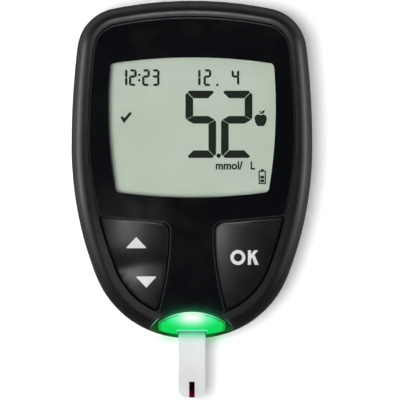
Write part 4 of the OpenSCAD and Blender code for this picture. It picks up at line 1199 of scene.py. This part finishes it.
add_piece("strip_base_film", strip_form(STRIP_Z, STRIP_Z + 0.25, STRIP_END), [strip_white], "strip",
          ["strip_base"])
add_piece("strip_lid_film", strip_form(STRIP_Z + 0.33, STRIP_Z + 0.45, STRIP_END - LID_SHORT, True), [strip_film],
          "strip", ["strip_lid"])

# ---------- floor, light and camera

FLOOR_LIFT, SKY_LOW, SKY_HIGH = 0.36, 0.12, 0.02
KEYS_AT = (0, -0.022, 0.018)     # where the lamp for the keys looks
CAMERA_AT = (0.001872, -0.00705, 1.6)
SENSOR, VIEW_FAR, VIEW_WIDE = 36, 1591, 93.02    # the camera's sensor, and the distance and width of what it sees


def from_bearing(bearing_deg, height_deg):
    """The direction at a bearing from +X and a height over the floor"""
    a, e = math.radians(bearing_deg), math.radians(height_deg)
    return Vector((math.cos(a) * math.cos(e), math.sin(a) * math.cos(e), math.sin(e)))


def make_floor():
    """White paper. It shows a little brighter to the camera and to reflections than the lamps make it,
    and carries painted green light spilled below the lit port."""
    bm = bmesh.new()
    bmesh.ops.create_grid(bm, x_segments=2, y_segments=2, size=6)
    mesh = as_mesh(bm, "floor")
    f = Finish("floor_paper")
    x, y = f.axes("XY")
    # painted green spill of the port's light on the floor
    painted_spill = ((((x ** 2) ** 0.5 - 5) / 3.2) ** 2 + ((y + 39.4) / 1.5) ** 2).fade()
    tint = f.mix(painted_spill * 0.5, (1, 1, 1), (0.25, 1, 0.42))
    rays = [f.make("ShaderNodeLightPath", output=name) for name in
            ("Is Camera Ray", "Is Glossy Ray", "Is Transmission Ray")]
    seen = f.make("ShaderNodeMath", {"operation": "ADD", "use_clamp": True}, {0: rays[0] + rays[1], 1: rays[2]})
    paper = f.mix(1.0, tint, (0.93, 0.93, 0.93), "MULTIPLY")
    lit = f.principled(base_color=paper, roughness=0.9, specular_ior_level=0.1)
    lift = f.make("ShaderNodeEmission", None, {"Color": tint, "Strength": seen * FLOOR_LIFT})
    mesh.materials.append(f.end(f.make("ShaderNodeAddShader", None, {0: lit, 1: lift})))
    put("floor", mesh)


def make_world():
    """Soft light from low all round, dark overhead, and plain white behind the object"""
    world = bpy.data.worlds.new("studio")
    bpy.context.scene.world = world
    world.use_nodes = True
    f = Finish("studio", world.node_tree)
    way = f.make("ShaderNodeTexCoord", output="Generated")
    up = f.make("ShaderNodeSeparateXYZ", None, {0: way}, output="Z")
    sky = up.ramp(0.45, 0.88, SKY_LOW, SKY_HIGH)
    seen = f.make("ShaderNodeLightPath", output="Is Camera Ray")
    back = f.make("ShaderNodeBackground", None, {"Color": (1, 1, 1), "Strength": sky + (1 - sky) * seen})
    f.make("ShaderNodeOutputWorld", None, {"Surface": back})


def softbox(name, bearing_deg, height_deg, distance, size, power, diffuse=True, glossy=True, along=0.0):
    """A lamp that looks at the middle of the object from that bearing and height, then moved along Y"""
    lamp = bpy.data.lights.new(name, "AREA")
    lamp.shape, lamp.size, lamp.size_y, lamp.energy = "RECTANGLE", *size, power
    item = put(name, lamp)
    item.location = distance * from_bearing(bearing_deg, height_deg)
    item.rotation_euler = item.location.to_track_quat("Z", "Y").to_euler()
    item.location.y += along
    item.visible_camera, item.visible_diffuse, item.visible_glossy = False, diffuse, glossy


def key_light(bearing_deg, height_deg, power, radius, spread_deg, blend):
    """A narrow lamp from the left of overhead that gives the two keys their sheen"""
    lamp = bpy.data.lights.new("key_sheen", "SPOT")
    lamp.energy, lamp.shadow_soft_size = power, radius
    lamp.spot_size, lamp.spot_blend = math.radians(spread_deg), blend
    item = put("key_sheen", lamp)
    way = from_bearing(bearing_deg, height_deg)
    item.location = way + Vector(KEYS_AT)
    item.rotation_euler = way.to_track_quat("Z", "Y").to_euler()
    item.visible_camera, item.visible_diffuse = False, False


def make_camera():
    """A camera that looks straight down from 1.6 m"""
    view = bpy.data.cameras.new("camera")
    view.sensor_width, view.lens = SENSOR, SENSOR * VIEW_FAR / VIEW_WIDE
    view.clip_start, view.clip_end = 0.05, 20
    camera = put("camera", view)
    camera.location = CAMERA_AT
    bpy.context.scene.camera = camera


make_floor()
make_world()
softbox("key_box", 195, 79.5, 1.2, (0.36, 0.36), 10.6, glossy=False)
softbox("upper_box", 92, 63, 1.0, (0.3, 0.2), 18.5, diffuse=False)
softbox("left_box", 180, 36, 0.7, (0.5, 0.3), 3.2, diffuse=False)
softbox("right_box", 0, 36, 0.7, (0.5, 0.3), 2.6, diffuse=False)
for side, bearing_deg, level in (("left", 180, 1.0), ("right", 0, 0.85)):
    softbox(side + "_near", bearing_deg, 13, 0.0667, (0.057, 0.03), 0.062 * level, diffuse=False, along=0.0135)
    softbox(side + "_long", bearing_deg, 13, 0.0667, (0.092, 0.03), 0.055 * level, diffuse=False, along=-0.004)
key_light(178, 79, power=17.0, radius=0.006, spread_deg=2.6, blend=0.15)
make_camera()
bpy.context.scene.view_settings.view_transform = "Standard"
